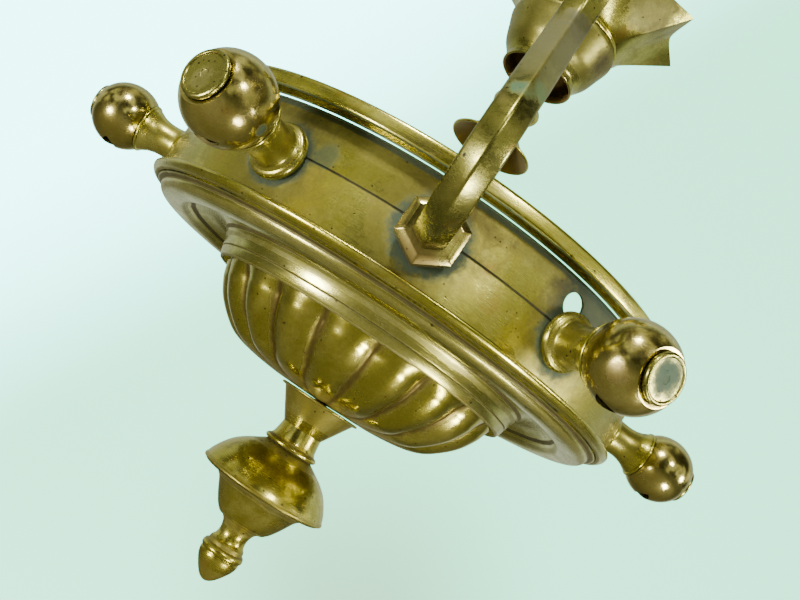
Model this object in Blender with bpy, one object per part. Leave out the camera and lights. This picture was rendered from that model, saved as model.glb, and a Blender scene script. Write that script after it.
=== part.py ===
"""Hanging gas chandelier: conical drum body with six slotted ball outlets, three arm seats,
one fitted hexagonal arm with its cock, a fluted bowl, a turned finial, and a stem with two
slip bells, a star crown, a ceiling plate and a sliding canopy.

Metres, +Z up. The origin is the middle of the ceiling plate's top face. The fitted arm points
along -Y. Heights given as a share of the drum radius are counted from the drum's lower edge.
"""

import math

import bmesh
import bpy
from mathutils import Matrix, Vector

# overall sizes
DRUM_R = 0.146            # radius of the drum wall at its lower edge
DROP = 0.440              # ceiling face to the drum's lower edge
ARM_REACH = 0.3066        # axis of the stem to the axis of the arm's end
GAP = 0.0003              # between pieces that touch

# sheet, pipe and thread sizes
WALL_T = 0.0014
SPUN_T = 0.0013
STEM_R = 0.00685
STEM_BORE_R = 0.0045
ROD_R = 0.0040
FEED_R = 0.0060
FEED_BORE_R = 0.0040

# ball outlets
BALL_R = 0.0190
BALL_T = 0.0014
BALL_BACK_CUT = 0.68      # share of the ball's radius where it sits in its cup
BALL_FRONT_CUT = 0.78
NECK_L = 0.0267
NECK_FLANGE_R = 0.0133
NECK_WAIST_R = 0.0096
SHANK_R = 0.0050
SHANK_L = 0.0115
FLANGE_BACK = -0.0008     # before the wall's shape is cut out of it
CAP_R = 0.0104
CAP_T = 0.0022
SLOT_L = 0.0165
SLOT_W = 0.0072
BALL_NUT_AF = 0.0180
BALL_NUT_T = 0.0045
BALL_BEARINGS = (-150.0, -90.0, -30.0, 30.0, 90.0, 150.0)

# arm seats and the fitted arm
SEAT_BEARINGS = (0.0, 120.0, -120.0)
SEAT_NUT_AF = 0.0264
SEAT_NUT_T = 0.0098
SEAT_COLLAR_R = 0.0115
SEAT_COLLAR_T = 0.0028
SEAT_BEVEL = 0.0030
ARM_AF = 0.0149
ARM_BORE_AF = 0.0096
COCK_R = 0.0112
COCK_NECK_R = 0.0088
COCK_H = 0.0360
KEY_R = 0.0045
KEY_PADDLE_L = 0.0250
KEY_PADDLE_W = 0.0130
KEY_PADDLE_T = 0.0030
KEY_SCREW_R = 0.0058
NIPPLE_R = 0.0066
NIPPLE_BORE_R = 0.0040
NIPPLE_L = 0.0130

# small hole in the drum wall
VENT_R = 0.00575
VENT_BEARING = 27.9
VENT_HEIGHT = 0.26

# stem fittings
CEILING_R = 0.045
CEILING_T = 0.006
CEILING_BOSS_R = 0.016
CEILING_BOSS_L = 0.016
SCREW_HOLE_R = 0.0025
SCREW_CIRCLE_R = 0.032
CANOPY_R = 0.060
CANOPY_H = 0.042
HUB_R = 0.0200
HUB_SHARE = 0.2143        # the arm seats' axes meet the stem here
COUPLING_R = 0.0124
LOCK_NUT_AF = 0.0240
LOCK_NUT_T = 0.0060

# wall line: radius shares at two heights
WALL_LOW = (0.992, 0.026)
WALL_TOP = (0.975, 0.336)
SCORE_SHARE = 0.180       # scored line round the wall
BALL_SHARE = 0.160        # ball outlets
ARM_SHARE = 0.167         # arm seats
DROOP = math.radians(2.75)  # outlets and seats lean down by this much
FLUTES = 18
FLUTE_DEPTH = 0.0036
FLUTE_TURN = 5.4
CROWN_POINTS = 8
CROWN_TURN = 11.0
CROWN_RING_R = 0.222
CROWN_TIP_R = 0.4695
CROWN_NOTCH_R = 0.381
CROWN_LOW = 1.489
CROWN_TOP = 1.680

BRASS = (0.56, 0.47, 0.20)
DARK_BRASS = (0.30, 0.24, 0.11)
PALE_BRASS = (0.68, 0.60, 0.33)

# facets round a full turn
WIDE = 36
MIDDLE = 20
SMALL = 12

LEVEL = Matrix.Translation((0.0, 0.0, -DROP))
WALL_SLOPE = (WALL_LOW[0] - WALL_TOP[0]) / (WALL_TOP[1] - WALL_LOW[1])


def clear_scene():
    for thing in list(bpy.data.objects):
        bpy.data.objects.remove(thing, do_unlink=True)


def material(name, colour, roughness):
    made = bpy.data.materials.new(name)
    made.use_nodes = True
    shader = made.node_tree.nodes["Principled BSDF"]
    shader.inputs["Base Color"].default_value = (*colour, 1.0)
    shader.inputs["Roughness"].default_value = roughness
    shader.inputs["Metallic"].default_value = 1.0
    return made


def node(name, mesh, colour=BRASS, roughness=0.35, frame=LEVEL, smooth=35.0):
    """A named object that holds one piece, with a material of its own."""
    made = bpy.data.objects.new(name, mesh)
    bpy.context.scene.collection.objects.link(made)
    made.matrix_world = frame
    if not mesh.materials:
        mesh.materials.append(None)
    made.material_slots[0].link = "OBJECT"
    made.material_slots[0].material = material(name, colour, roughness)
    mesh.shade_smooth()
    mesh.set_sharp_from_angle(angle=math.radians(smooth))
    return made


def mesh_of(name, points, faces):
    mesh = bpy.data.meshes.new(name)
    mesh.from_pydata(points, [], faces)
    work = bmesh.new()
    work.from_mesh(mesh)
    bmesh.ops.recalc_face_normals(work, faces=work.faces)
    work.to_mesh(mesh)
    work.free()
    return mesh


def scaled(outline, share=DRUM_R):
    return [(r * share, z * share) for r, z in outline]


def arc(centre, radius, start, end, steps):
    """Points of a round stretch; angles in degrees, 0 outwards and 90 up."""
    out = []
    for i in range(steps + 1):
        a = math.radians(start + (end - start) * i / steps)
        out.append((centre[0] + radius * math.cos(a), centre[1] + radius * math.sin(a)))
    return out


def revolve(name, outline, steps, radius_at=None):
    """Closed outline of (radius, height) turned about Z; radius_at bends it by angle."""
    points = []
    rows = []
    for row, (r, z) in enumerate(outline):
        if r < 1e-7:
            rows.append([len(points)] * steps)
            points.append((0.0, 0.0, z))
            continue
        start = len(points)
        for i in range(steps):
            a = 2.0 * math.pi * i / steps
            rr = r if radius_at is None else radius_at(row, r, a)
            points.append((rr * math.sin(a), -rr * math.cos(a), z))
        rows.append(list(range(start, start + steps)))
    faces = []
    for a, b in zip(rows, rows[1:] + rows[:1]):
        for i in range(steps):
            j = (i + 1) % steps
            corners = []
            for corner in (a[i], a[j], b[j], b[i]):
                if corner not in corners:
                    corners.append(corner)
            if len(corners) > 2:
                faces.append(corners)
    return mesh_of(name, points, faces)


def prism(name, across_flats, low, high, bevel=0.0, bore=None, sides=6, turn=0.0):
    """A nut along Z: flat-sided, bevelled at its upper face, with a six-sided or round bore."""
    corner = across_flats / 2.0 / math.cos(math.pi / sides)
    levels = [(corner, low), (corner, high - bevel * 0.5)]
    if bevel:
        levels.append((corner - bevel, high))
    else:
        levels[-1] = (corner, high)
    points = []
    steps = sides * 2 if bore else sides

    def at(r, i, flat):
        a = 2.0 * math.pi * i / steps + math.radians(turn)
        if flat:
            inside = (a - math.radians(turn)) % (2.0 * math.pi / sides) - math.pi / sides
            r = r * math.cos(math.pi / sides) / math.cos(inside)
        return r * math.sin(a), r * math.cos(a)

    outline = [(r, z, True) for r, z in levels]
    if bore:
        outline += [(bore, high, False), (bore, low, False)]
    for r, z, flat in outline:
        for i in range(steps):
            x, y = at(r, i, flat)
            points.append((x, y, z))
    faces = []
    last = len(outline) if bore else len(outline) - 1
    for row in range(last):
        below = row * steps
        above = (row + 1) % len(outline) * steps
        for i in range(steps):
            j = (i + 1) % steps
            faces.append([below + i, below + j, above + j, above + i])
    if not bore:
        faces.append(list(range(steps)))
        faces.append([(len(outline) - 1) * steps + i for i in range(steps)])
    return mesh_of(name, points, faces)


def cutter(name, mesh, frame):
    made = bpy.data.objects.new("cut_" + name, mesh)
    bpy.context.scene.collection.objects.link(made)
    made.matrix_world = frame
    made.hide_render = True
    made.hide_viewport = False
    made.display_type = "WIRE"
    return made


def cut(target, tool):
    step = target.modifiers.new(tool.name, "BOOLEAN")
    step.operation = "DIFFERENCE"
    step.solver = "EXACT"
    step.object = tool
    return step


def bore(target, name, radius, low, high, frame, steps=SMALL):
    """Round hole cut along the frame's Z; turned a little so that no edges meet edge on."""
    mesh = rod_mesh(name, radius, low, high, steps)
    return cut(target, cutter(name, mesh, frame @ Matrix.Rotation(math.radians(5.0), 4, "Z")))


def rod_mesh(name, radius, low, high, steps=SMALL):
    return revolve(name, [(0.0, low), (radius, low), (radius, high), (0.0, high)], steps)


def tube_mesh(name, radius, inner, low, high, steps=SMALL):
    return revolve(name, [(inner, low), (radius, low), (radius, high), (inner, high)], steps)


def wall_radius(height):
    return WALL_LOW[0] - (height - WALL_LOW[1]) * WALL_SLOPE


def seat_frame(bearing, height):
    """Frame on the wall's outer face: Z outwards and a little down, Y up, X to the side."""
    turn = math.radians(bearing)
    r = wall_radius(height) * DRUM_R
    out = Vector((math.sin(turn) * math.cos(DROOP), -math.cos(turn) * math.cos(DROOP),
                  -math.sin(DROOP)))
    side = Vector((math.cos(turn), math.sin(turn), 0.0))
    up = out.cross(side)
    frame = Matrix((side, up, out)).transposed().to_4x4()
    frame.translation = (r * math.sin(turn), -r * math.cos(turn), height * DRUM_R - DROP)
    return frame


# --- stem and crown -------------------------------------------------------------------------

def ceiling_plate():
    socket = STEM_R + GAP
    top = 0.0
    outline = [
        (0.0, top), (CEILING_R, top), (CEILING_R, top - CEILING_T * 0.6),
        (CEILING_R - 0.0025, top - CEILING_T), (CEILING_BOSS_R, top - CEILING_T),
        (CEILING_BOSS_R, top - CEILING_T - CEILING_BOSS_L), (socket, top - CEILING_T - CEILING_BOSS_L),
        (socket, top - CEILING_T), (0.0, top - CEILING_T),
    ]
    plate = node("ceiling_plate", revolve("ceiling_plate", outline, MIDDLE), DARK_BRASS, 0.5,
                 Matrix.Identity(4))
    for i in range(3):
        turn = math.radians(60.0 + 120.0 * i)
        at = Matrix.Translation((SCREW_CIRCLE_R * math.sin(turn), -SCREW_CIRCLE_R * math.cos(turn), 0.0))
        bore(plate, f"screw_{i}", SCREW_HOLE_R, -CEILING_T * 2.0, CEILING_T, at, 12)


def ceiling_canopy():
    hole = STEM_R + GAP
    outline = [
        (hole, -CANOPY_H), (STEM_R + 0.004, -CANOPY_H), (STEM_R + 0.005, -CANOPY_H + 0.009),
        (CANOPY_R * 0.42, -CANOPY_H + 0.0125), (CANOPY_R * 0.70, -CANOPY_H * 0.58),
        (CANOPY_R * 0.88, -CANOPY_H * 0.36), (CANOPY_R * 0.93, -CANOPY_H * 0.12),
        (CANOPY_R, -GAP - 0.0022), (CANOPY_R, -GAP), (CANOPY_R - 0.0020, -GAP),
        (CANOPY_R * 0.905, -CANOPY_H * 0.12), (CANOPY_R * 0.855, -CANOPY_H * 0.34),
        (CANOPY_R * 0.68, -CANOPY_H * 0.545), (hole, -CANOPY_H + 0.0112),
    ]
    node("ceiling_canopy", revolve("ceiling_canopy", outline, MIDDLE), BRASS, 0.35, Matrix.Identity(4))


def stem_pipe():
    low = HUB_SHARE * DRUM_R + HUB_R * 0.45 - DROP
    high = -CEILING_T - GAP
    node("stem_pipe", tube_mesh("stem_pipe", STEM_R, STEM_BORE_R, low, high, SMALL), DARK_BRASS, 0.45,
         Matrix.Identity(4))


def star_crown():
    """Cone with a floor; its rim is a star whose sides curve in between the points."""
    t = SPUN_T / DRUM_R
    hole = (STEM_R + GAP) / DRUM_R
    rows = [
        (hole, CROWN_LOW), (CROWN_RING_R, CROWN_LOW), (CROWN_RING_R + 0.012, CROWN_LOW + 0.010),
        (0.40, 0.5 * (CROWN_LOW + CROWN_TOP)), (CROWN_TIP_R, CROWN_TOP),
        (CROWN_TIP_R - t * 0.7, CROWN_TOP), (0.40 - t, 0.5 * (CROWN_LOW + CROWN_TOP)),
        (CROWN_RING_R + 0.003, CROWN_LOW + 0.010 + t * 0.6), (CROWN_RING_R - t, CROWN_LOW + t),
        (hole, CROWN_LOW + t),
    ]
    rise = {3: 0.5, 4: 1.0, 5: 1.0, 6: 0.5}
    inner = {5: t * 1.2, 6: t * 1.2}

    def radius_at(row, r, a):
        if row not in rise:
            return r
        phase = (a - math.radians(CROWN_TURN)) / (2.0 * math.pi / CROWN_POINTS)
        off = abs(phase - round(phase)) * 2.0
        edge = CROWN_NOTCH_R + (CROWN_TIP_R - CROWN_NOTCH_R) * (1.0 - off) ** 1.7
        base = CROWN_RING_R + 0.012
        return (base + (edge - base) * rise[row] - inner.get(row, 0.0)) * DRUM_R

    steps = CROWN_POINTS * 4
    shift = CROWN_TURN

    def turned(row, r, a):
        return radius_at(row, r, a + math.radians(shift))

    mesh = revolve("star_crown", scaled(rows), steps, turned)
    mesh.transform(Matrix.Rotation(math.radians(shift), 4, "Z"))
    node("star_crown", mesh, PALE_BRASS, 0.3, LEVEL, 30.0)


def crown_ring():
    hole = (STEM_R + GAP) / DRUM_R
    outline = [
        (hole, 1.4575), (0.230, 1.4575), (0.2385, 1.465), (0.229, 1.4735), (0.232, 1.480),
        (0.222, 1.4867), (hole, 1.4867),
    ]
    node("crown_ring", revolve("crown_ring", scaled(outline), MIDDLE), BRASS)


def upper_slip_bell():
    hole = (STEM_R + GAP) / DRUM_R
    t = SPUN_T / DRUM_R
    line = [
        (0.150, 1.238), (0.1585, 1.234), (0.162, 1.242), (0.160, 1.266), (0.203, 1.332),
        (0.223, 1.389), (0.240, 1.442), (0.237, 1.4545), (hole, 1.4545),
    ]
    inner = [
        (hole, 1.4545 - t * 1.1), (0.226, 1.4545 - t * 1.1), (0.229, 1.442), (0.2135, 1.392),
        (0.1935, 1.336), (0.1505, 1.268),
    ]
    node("upper_slip_bell", revolve("upper_slip_bell", scaled(line + inner), MIDDLE), BRASS)


def crown_lock_nut():
    high = (1.4545 * DRUM_R) - SPUN_T * 1.1 - GAP - DROP
    mesh = prism("crown_lock_nut", LOCK_NUT_AF, high - LOCK_NUT_T, high, 0.0012, STEM_R + GAP)
    node("crown_lock_nut", mesh, DARK_BRASS, 0.5, Matrix.Identity(4), 25.0)


def lower_slip_bell():
    hole = (STEM_R + GAP) / DRUM_R
    outline = [
        (0.168, 0.868), (0.174, 0.8665), (0.1785, 0.872), (0.170, 0.882), (0.122, 0.912),
        (0.079, 0.963), (0.068, 0.995), (0.074, 1.037), (0.096, 1.060), (0.102, 1.079),
        (0.096, 1.094), (0.070, 1.118), (0.0645, 1.146), (0.0645, 1.270), (hole, 1.270),
        (hole, 0.968), (0.072, 0.955), (0.115, 0.905),
    ]
    node("lower_slip_bell", revolve("lower_slip_bell", scaled(outline), MIDDLE), BRASS)


def stem_coupling():
    hole = (STEM_R + GAP) / DRUM_R
    r = COUPLING_R / DRUM_R
    outline = [
        (hole, 0.792), (r * 0.86, 0.792), (r, 0.802), (r, 0.862), (r * 0.80, 0.880),
        (r * 0.80, 0.930), (hole, 0.930),
    ]
    node("stem_coupling", revolve("stem_coupling", scaled(outline), SMALL), BRASS, 0.4)


# --- drum -----------------------------------------------------------------------------------

def drum_wall():
    """Conical wall with a scored line at the seats' height and a fine bead under the rim."""
    t = WALL_T / DRUM_R
    top = WALL_TOP[1]

    def at(height, out=0.0):
        return wall_radius(height) + out, height

    outline = [
        at(WALL_LOW[1]), at(SCORE_SHARE - 0.0030), at(SCORE_SHARE, -0.0028), at(SCORE_SHARE + 0.0030),
        at(top - 0.0085), at(top - 0.0070, 0.0045), at(top - 0.0020, 0.0045), at(top, 0.0010),
        at(top, -t), at(WALL_LOW[1], -t),
    ]
    wall = node("drum_wall", revolve("drum_wall", scaled(outline), WIDE), BRASS, 0.38)
    for i, bearing in enumerate(BALL_BEARINGS):
        bore(wall, f"ball_{i}", SHANK_R + GAP, -0.012, 0.012, seat_frame(bearing, BALL_SHARE))
    for i, bearing in enumerate(SEAT_BEARINGS):
        bore(wall, f"seat_{i}", FEED_R + GAP, -0.012, 0.012, seat_frame(bearing, ARM_SHARE))
    bore(wall, "vent", VENT_R, -0.008, 0.008, seat_frame(VENT_BEARING, VENT_HEIGHT))


def wall_saddle():
    """The wall grown by the gap, with its bores: it shapes the backs of what seats on the wall."""
    grown = GAP / DRUM_R
    t = WALL_T / DRUM_R
    low = WALL_LOW[1]
    high = WALL_TOP[1]
    outline = [
        (wall_radius(low) + grown, low), (wall_radius(high) + grown, high),
        (wall_radius(high) - t * 4.0, high), (wall_radius(low) - t * 4.0, low),
    ]
    saddle = cutter("saddle", revolve("saddle", scaled(outline), WIDE), LEVEL)
    for i, bearing in enumerate(BALL_BEARINGS):
        bore(saddle, f"saddle_ball_{i}", SHANK_R + GAP, -0.012, 0.012, seat_frame(bearing, BALL_SHARE))
    return saddle


def drum_astragal():
    low = -0.0070
    high = WALL_LOW[1] - GAP / DRUM_R
    outline = [
        (0.958, low), (0.976, low), (0.993, -0.0020), (1.0015, 0.0070), (1.0045, 0.0150),
        (1.0025, 0.0205), (0.9965, high), (0.958, high),
    ]
    node("drum_astragal", revolve("drum_astragal", scaled(outline), WIDE), BRASS)


def top_rim():
    low = WALL_TOP[1] + GAP / DRUM_R
    outline = [
        (0.940, low), (0.982, low), (0.984, 0.3670), (1.022, 0.3670), (1.025, 0.3410),
        (1.033, 0.3400), (1.0390, 0.3500), (1.0390, 0.3780), (1.0340, 0.3890), (1.0180, 0.3920),
        (0.940, 0.3920),
    ]
    node("top_rim", revolve("top_rim", scaled(outline), WIDE), BRASS, 0.3)


def lower_pan():
    """Flange, half-round torus, recess and the coved ring that meets the bowl."""
    t = SPUN_T / DRUM_R
    top = -0.0070 - GAP / DRUM_R
    line = [
        (0.972, top), (0.960, -0.0135), (0.950, -0.0165), (0.9465, -0.0270), (0.935, -0.0420),
        (0.908, -0.0510), (0.880, -0.0530), (0.850, -0.0490), (0.832, -0.0400), (0.815, -0.0200),
        (0.785, 0.0000), (0.738, 0.0100), (0.692, 0.0020),
        (0.660, -0.0280), (0.6430, -0.0760), (0.6380, -0.0785), (0.6400, -0.0820), (0.6280, -0.1150),
    ]
    inner = [
        (0.6280 - t, -0.1150), (0.6445 - t, -0.0450), (0.687, 0.0120), (0.738, 0.0100 + t),
        (0.790, 0.0090), (0.826, -0.0160), (0.850, -0.0390), (0.880, -0.0530 + t), (0.908, -0.0410),
        (0.930, -0.0320), (0.936, top),
    ]
    node("lower_pan", revolve("lower_pan", scaled(line + inner), WIDE), BRASS, 0.32)


def fluted_bowl():
    """Shell with meridian lobes that part at narrow grooves and fade out at the collar."""
    t = SPUN_T / DRUM_R
    hole = (ROD_R + GAP) / DRUM_R
    line = [
        (0.6010, -0.0950), (0.5990, -0.1080), (0.575, -0.173), (0.540, -0.228), (0.494, -0.274),
        (0.4395, -0.314), (0.350, -0.342), (0.205, -0.360), (hole, -0.364),
    ]
    inner = [
        (hole, -0.364 + t), (0.345, -0.332), (0.474, -0.272), (0.552, -0.182), (0.5840, -0.095),
    ]
    depth = {0: 0.45, 1: 0.55, 2: 0.9, 3: 1.0, 4: 1.0, 5: 0.9, 6: 0.65, 7: 0.15}

    def radius_at(row, r, a):
        phase = (a - math.radians(FLUTE_TURN)) * FLUTES / 2.0
        sink = 1.0 - abs(math.sin(phase)) ** 0.75
        return r - depth.get(row, 0.0) * FLUTE_DEPTH * sink * 0.55

    steps = FLUTES * 4
    turn = math.radians(FLUTE_TURN)

    def turned(row, r, a):
        return radius_at(row, r, a + turn)

    mesh = revolve("fluted_bowl", scaled(line + inner), steps, turned)
    mesh.transform(Matrix.Rotation(turn, 4, "Z"))
    node("fluted_bowl", mesh, BRASS, 0.33, LEVEL, 30.0)


# --- hub, feeds and rod ---------------------------------------------------------------------

def gas_hub():
    centre = HUB_SHARE * DRUM_R
    outline = [
        (0.0, -HUB_R * 1.45), (0.0110, -HUB_R * 1.45), (0.0110, -HUB_R * 0.95),
    ]
    outline += arc((0.0, 0.0), HUB_R, -52.0, 52.0, 6)
    outline += [(0.0120, HUB_R * 0.95), (0.0120, HUB_R * 1.48), (0.0, HUB_R * 1.48)]
    frame = LEVEL @ Matrix.Translation((0.0, 0.0, centre))
    hub = node("gas_hub", revolve("gas_hub", outline, 16), DARK_BRASS, 0.45, frame)
    bore(hub, "stem_socket", STEM_R + GAP, HUB_R * 0.45 - GAP, HUB_R * 1.8, frame)
    bore(hub, "rod_socket", ROD_R + GAP, -HUB_R * 1.8, -HUB_R * 0.75, frame)
    for i, bearing in enumerate(SEAT_BEARINGS):
        turned = seat_frame(bearing, ARM_SHARE)
        turned.translation = frame.translation
        bore(hub, f"feed_socket_{i}", FEED_R + GAP, HUB_R * 0.60, HUB_R * 1.6, turned)


def feed_length():
    """From the stem's axis to the wall's outer face, along a seat's axis."""
    return wall_radius(ARM_SHARE) * DRUM_R / math.cos(DROOP)


def feed_pipes():
    low = HUB_R * 0.60 + GAP - feed_length()
    high = SEAT_COLLAR_T + SEAT_NUT_T * 0.4
    mesh = tube_mesh("feed_pipe", FEED_R, FEED_BORE_R, low, high, 12)
    for i, bearing in enumerate(SEAT_BEARINGS):
        node(f"feed_pipe_{i + 1}", mesh, DARK_BRASS, 0.5, seat_frame(bearing, ARM_SHARE))


def tie_rod():
    low = -0.985 * DRUM_R
    high = HUB_SHARE * DRUM_R - HUB_R * 0.75 - GAP
    node("tie_rod", rod_mesh("tie_rod", ROD_R, low, high, 12), DARK_BRASS, 0.5)


# --- finial ---------------------------------------------------------------------------------

def finial_neck():
    hole = (ROD_R + GAP) / DRUM_R
    outline = [
        (hole, -0.3662), (0.165, -0.3662), (0.168, -0.3720), (0.160, -0.3765),
        (0.132, -0.3870), (0.1020, -0.4240), (0.0830, -0.4680), (0.0845, -0.5080), (0.0920, -0.5450),
        (0.1070, -0.5590), (0.1100, -0.5700), (0.0995, -0.5780), (hole, -0.5780),
    ]
    node("finial_neck", revolve("finial_neck", scaled(outline), MIDDLE), BRASS)


def finial_dome():
    t = SPUN_T / DRUM_R
    hole = (ROD_R + GAP) / DRUM_R
    line = [
        (hole, -0.5800), (0.098, -0.5800), (0.129, -0.5990), (0.166, -0.6210), (0.2015, -0.6500),
        (0.233, -0.6920), (0.2575, -0.7420), (0.2570, -0.7520),
    ]
    inner = [
        (0.2460, -0.7520), (0.2220, -0.6960), (0.1940, -0.6580), (0.1610, -0.6310),
        (0.0960, -0.5800 - t), (hole, -0.5800 - t),
    ]
    node("finial_dome", revolve("finial_dome", scaled(line + inner), MIDDLE), BRASS, 0.3)


def finial_cup():
    t = SPUN_T / DRUM_R
    hole = (ROD_R + GAP) / DRUM_R
    line = [
        (hole, -0.8930), (0.0970, -0.8930), (0.1210, -0.8680), (0.1420, -0.8360),
        (0.1630, -0.7990), (0.1910, -0.7700), (0.2460, -0.7580), (0.2500, -0.7542),
    ]
    inner = [
        (0.2150, -0.7542), (0.1870, -0.7615), (0.1560, -0.7930), (0.1340, -0.8310), (0.1060, -0.8700),
        (0.0930, -0.8930 + t), (hole, -0.8930 + t),
    ]
    node("finial_cup", revolve("finial_cup", scaled(line + inner), MIDDLE), BRASS, 0.35)


def finial_acorn():
    hole = (ROD_R + GAP) / DRUM_R
    outline = [
        (hole, -0.8950), (0.084, -0.8950), (0.0660, -0.9130), (0.0575, -0.9500), (0.0710, -0.9840),
        (0.0740, -0.9990), (0.0850, -1.0100), (0.0840, -1.0210), (0.0790, -1.0270), (0.0780, -1.0440),
        (0.0640, -1.0760), (0.0460, -1.1020), (0.0240, -1.1250), (0.0, -1.1330),
        (0.0, -0.9870), (hole, -0.9870),
    ]
    node("finial_acorn", revolve("finial_acorn", scaled(outline), 16), BRASS, 0.33)


# --- ball outlets ---------------------------------------------------------------------------

def ball_neck_mesh():
    """Turned neck: rounded wall flange, waist, cup with a ring line, and a shank through the wall."""
    cup_r = BALL_R * math.sqrt(1.0 - BALL_BACK_CUT ** 2)
    outline = [
        (0.0, -SHANK_L), (SHANK_R, -SHANK_L), (SHANK_R, FLANGE_BACK), (NECK_FLANGE_R, FLANGE_BACK),
    ]
    outline += arc((NECK_FLANGE_R - 0.0015, 0.0026), 0.0015, 0.0, 70.0, 2)
    outline += [
        (NECK_WAIST_R + 0.0006, 0.0060), (NECK_WAIST_R, 0.0115), (NECK_WAIST_R + 0.0012, 0.0190),
        (cup_r - 0.0008, NECK_L - 0.0022), (cup_r + 0.0003, NECK_L - 0.0014), (cup_r, NECK_L - GAP),
        (0.0, NECK_L - GAP),
    ]
    return revolve("ball_neck", outline, SMALL)


def ball_mesh():
    """Hollow ball, cut flat where it meets its neck and where the cap sits."""
    back = -math.degrees(math.asin(BALL_BACK_CUT))
    front = math.degrees(math.asin(BALL_FRONT_CUT))
    inner_r = BALL_R - BALL_T
    inner_back = -math.degrees(math.asin(BALL_BACK_CUT * BALL_R / inner_r))
    inner_front = math.degrees(math.asin(BALL_FRONT_CUT * BALL_R / inner_r))
    outline = arc((0.0, 0.0), BALL_R, back, front, 6)
    outline += arc((0.0, 0.0), inner_r, inner_front, inner_back, 3)
    return revolve("ball", outline, 16)


def slot_mesh():
    """Lens with pointed ends: two arcs across the slot's width, run through the ball's wall."""
    half_l = SLOT_L / 2.0
    half_w = SLOT_W / 2.0
    bend = (half_l ** 2 + half_w ** 2) / (2.0 * half_w)
    sweep = math.asin(half_l / bend)
    loop = []
    for i in range(5):
        a = -sweep + 2.0 * sweep * i / 5
        loop.append((bend * math.sin(a), bend * math.cos(a) - bend + half_w))
    loop += [(-x, -y) for x, y in loop]
    points = [(x, -BALL_R * 1.3, z) for x, z in loop] + [(x, -BALL_R * 0.5, z) for x, z in loop]
    count = len(loop)
    faces = [list(range(count)), list(range(count, 2 * count))]
    for i in range(count):
        j = (i + 1) % count
        faces.append([i, j, count + j, count + i])
    return mesh_of("slot", points, faces)


def ball_cap_mesh():
    seat = BALL_FRONT_CUT * BALL_R
    plug_r = math.sqrt((BALL_R - BALL_T) ** 2 - seat ** 2) - GAP
    low = seat + GAP
    high = low + CAP_T
    outline = [
        (0.0, seat - 0.0020), (plug_r - 0.0006, seat - 0.0020), (plug_r - 0.0006, low), (CAP_R, low),
        (CAP_R, high - 0.0010), (CAP_R - 0.0011, high), (0.0, high),
    ]
    return revolve("ball_cap", outline, SMALL)


def ball_outlets(saddle):
    neck = ball_neck_mesh()
    ball = ball_mesh()
    slot = slot_mesh()
    cap = ball_cap_mesh()
    nut_face = -WALL_T - BALL_NUT_AF * 0.115
    nut = prism("ball_nut", BALL_NUT_AF, nut_face - BALL_NUT_T, nut_face, 0.0, SHANK_R + GAP)
    out = Matrix.Translation((0.0, 0.0, NECK_L + BALL_BACK_CUT * BALL_R))
    for i, bearing in enumerate(BALL_BEARINGS):
        frame = seat_frame(bearing, BALL_SHARE)
        cut(node(f"ball_neck_{i + 1}", neck, BRASS, 0.32, frame), saddle)
        made = node(f"ball_{i + 1}", ball, BRASS, 0.25, frame @ out)
        cut(made, cutter(f"slot_{i + 1}", slot, frame @ out))
        node(f"ball_cap_{i + 1}", cap, PALE_BRASS, 0.3, frame @ out)
        node(f"ball_nut_{i + 1}", nut, DARK_BRASS, 0.5, frame, 25.0)


# --- arm ------------------------------------------------------------------------------------

def arm_path():
    """Centre line of the arm in its own plane: (distance from the stem, height)."""
    nut_face = (SEAT_COLLAR_T + SEAT_NUT_T + GAP) / DRUM_R
    start_r = wall_radius(ARM_SHARE) + nut_face * math.cos(DROOP)
    start_z = ARM_SHARE - nut_face * math.sin(DROOP)
    reach = ARM_REACH / DRUM_R
    tail = reach - 1.37
    return [
        (start_r, start_z), (start_r + 0.05, start_z - 0.05 * math.tan(DROOP)), (1.185, 0.170),
        (1.265, 0.200), (1.325, 0.252), (1.362, 0.320), (1.362, 0.392), (1.335, 0.462),
        (1.295, 0.535), (1.230, 0.640), (1.165, 0.745), (1.130, 0.840), (1.150, 0.950),
        (1.235, 1.045), (1.37, 1.095), (1.37 + tail * 0.25, 1.060), (1.37 + tail * 0.50, 0.930),
        (1.37 + tail * 0.74, 0.845), (1.37 + tail * 0.93, 0.880), (reach, 0.985), (reach, 1.040),
    ]


def smooth_path(points, steps):
    """Rounded run through the points, with the same spacing rule on every stretch."""
    ends = [points[0]] + list(points) + [points[-1]]
    out = []
    for k in range(1, len(ends) - 2):
        p = [Vector(q) for q in ends[k - 1:k + 3]]
        for i in range(steps):
            t = i / steps
            out.append(0.5 * ((2.0 * p[1]) + (p[2] - p[0]) * t
                              + (2.0 * p[0] - 5.0 * p[1] + 4.0 * p[2] - p[3]) * t ** 2
                              + (3.0 * p[1] - p[0] - 3.0 * p[2] + p[3]) * t ** 3))
    out.append(Vector(points[-1]))
    return out


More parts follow.
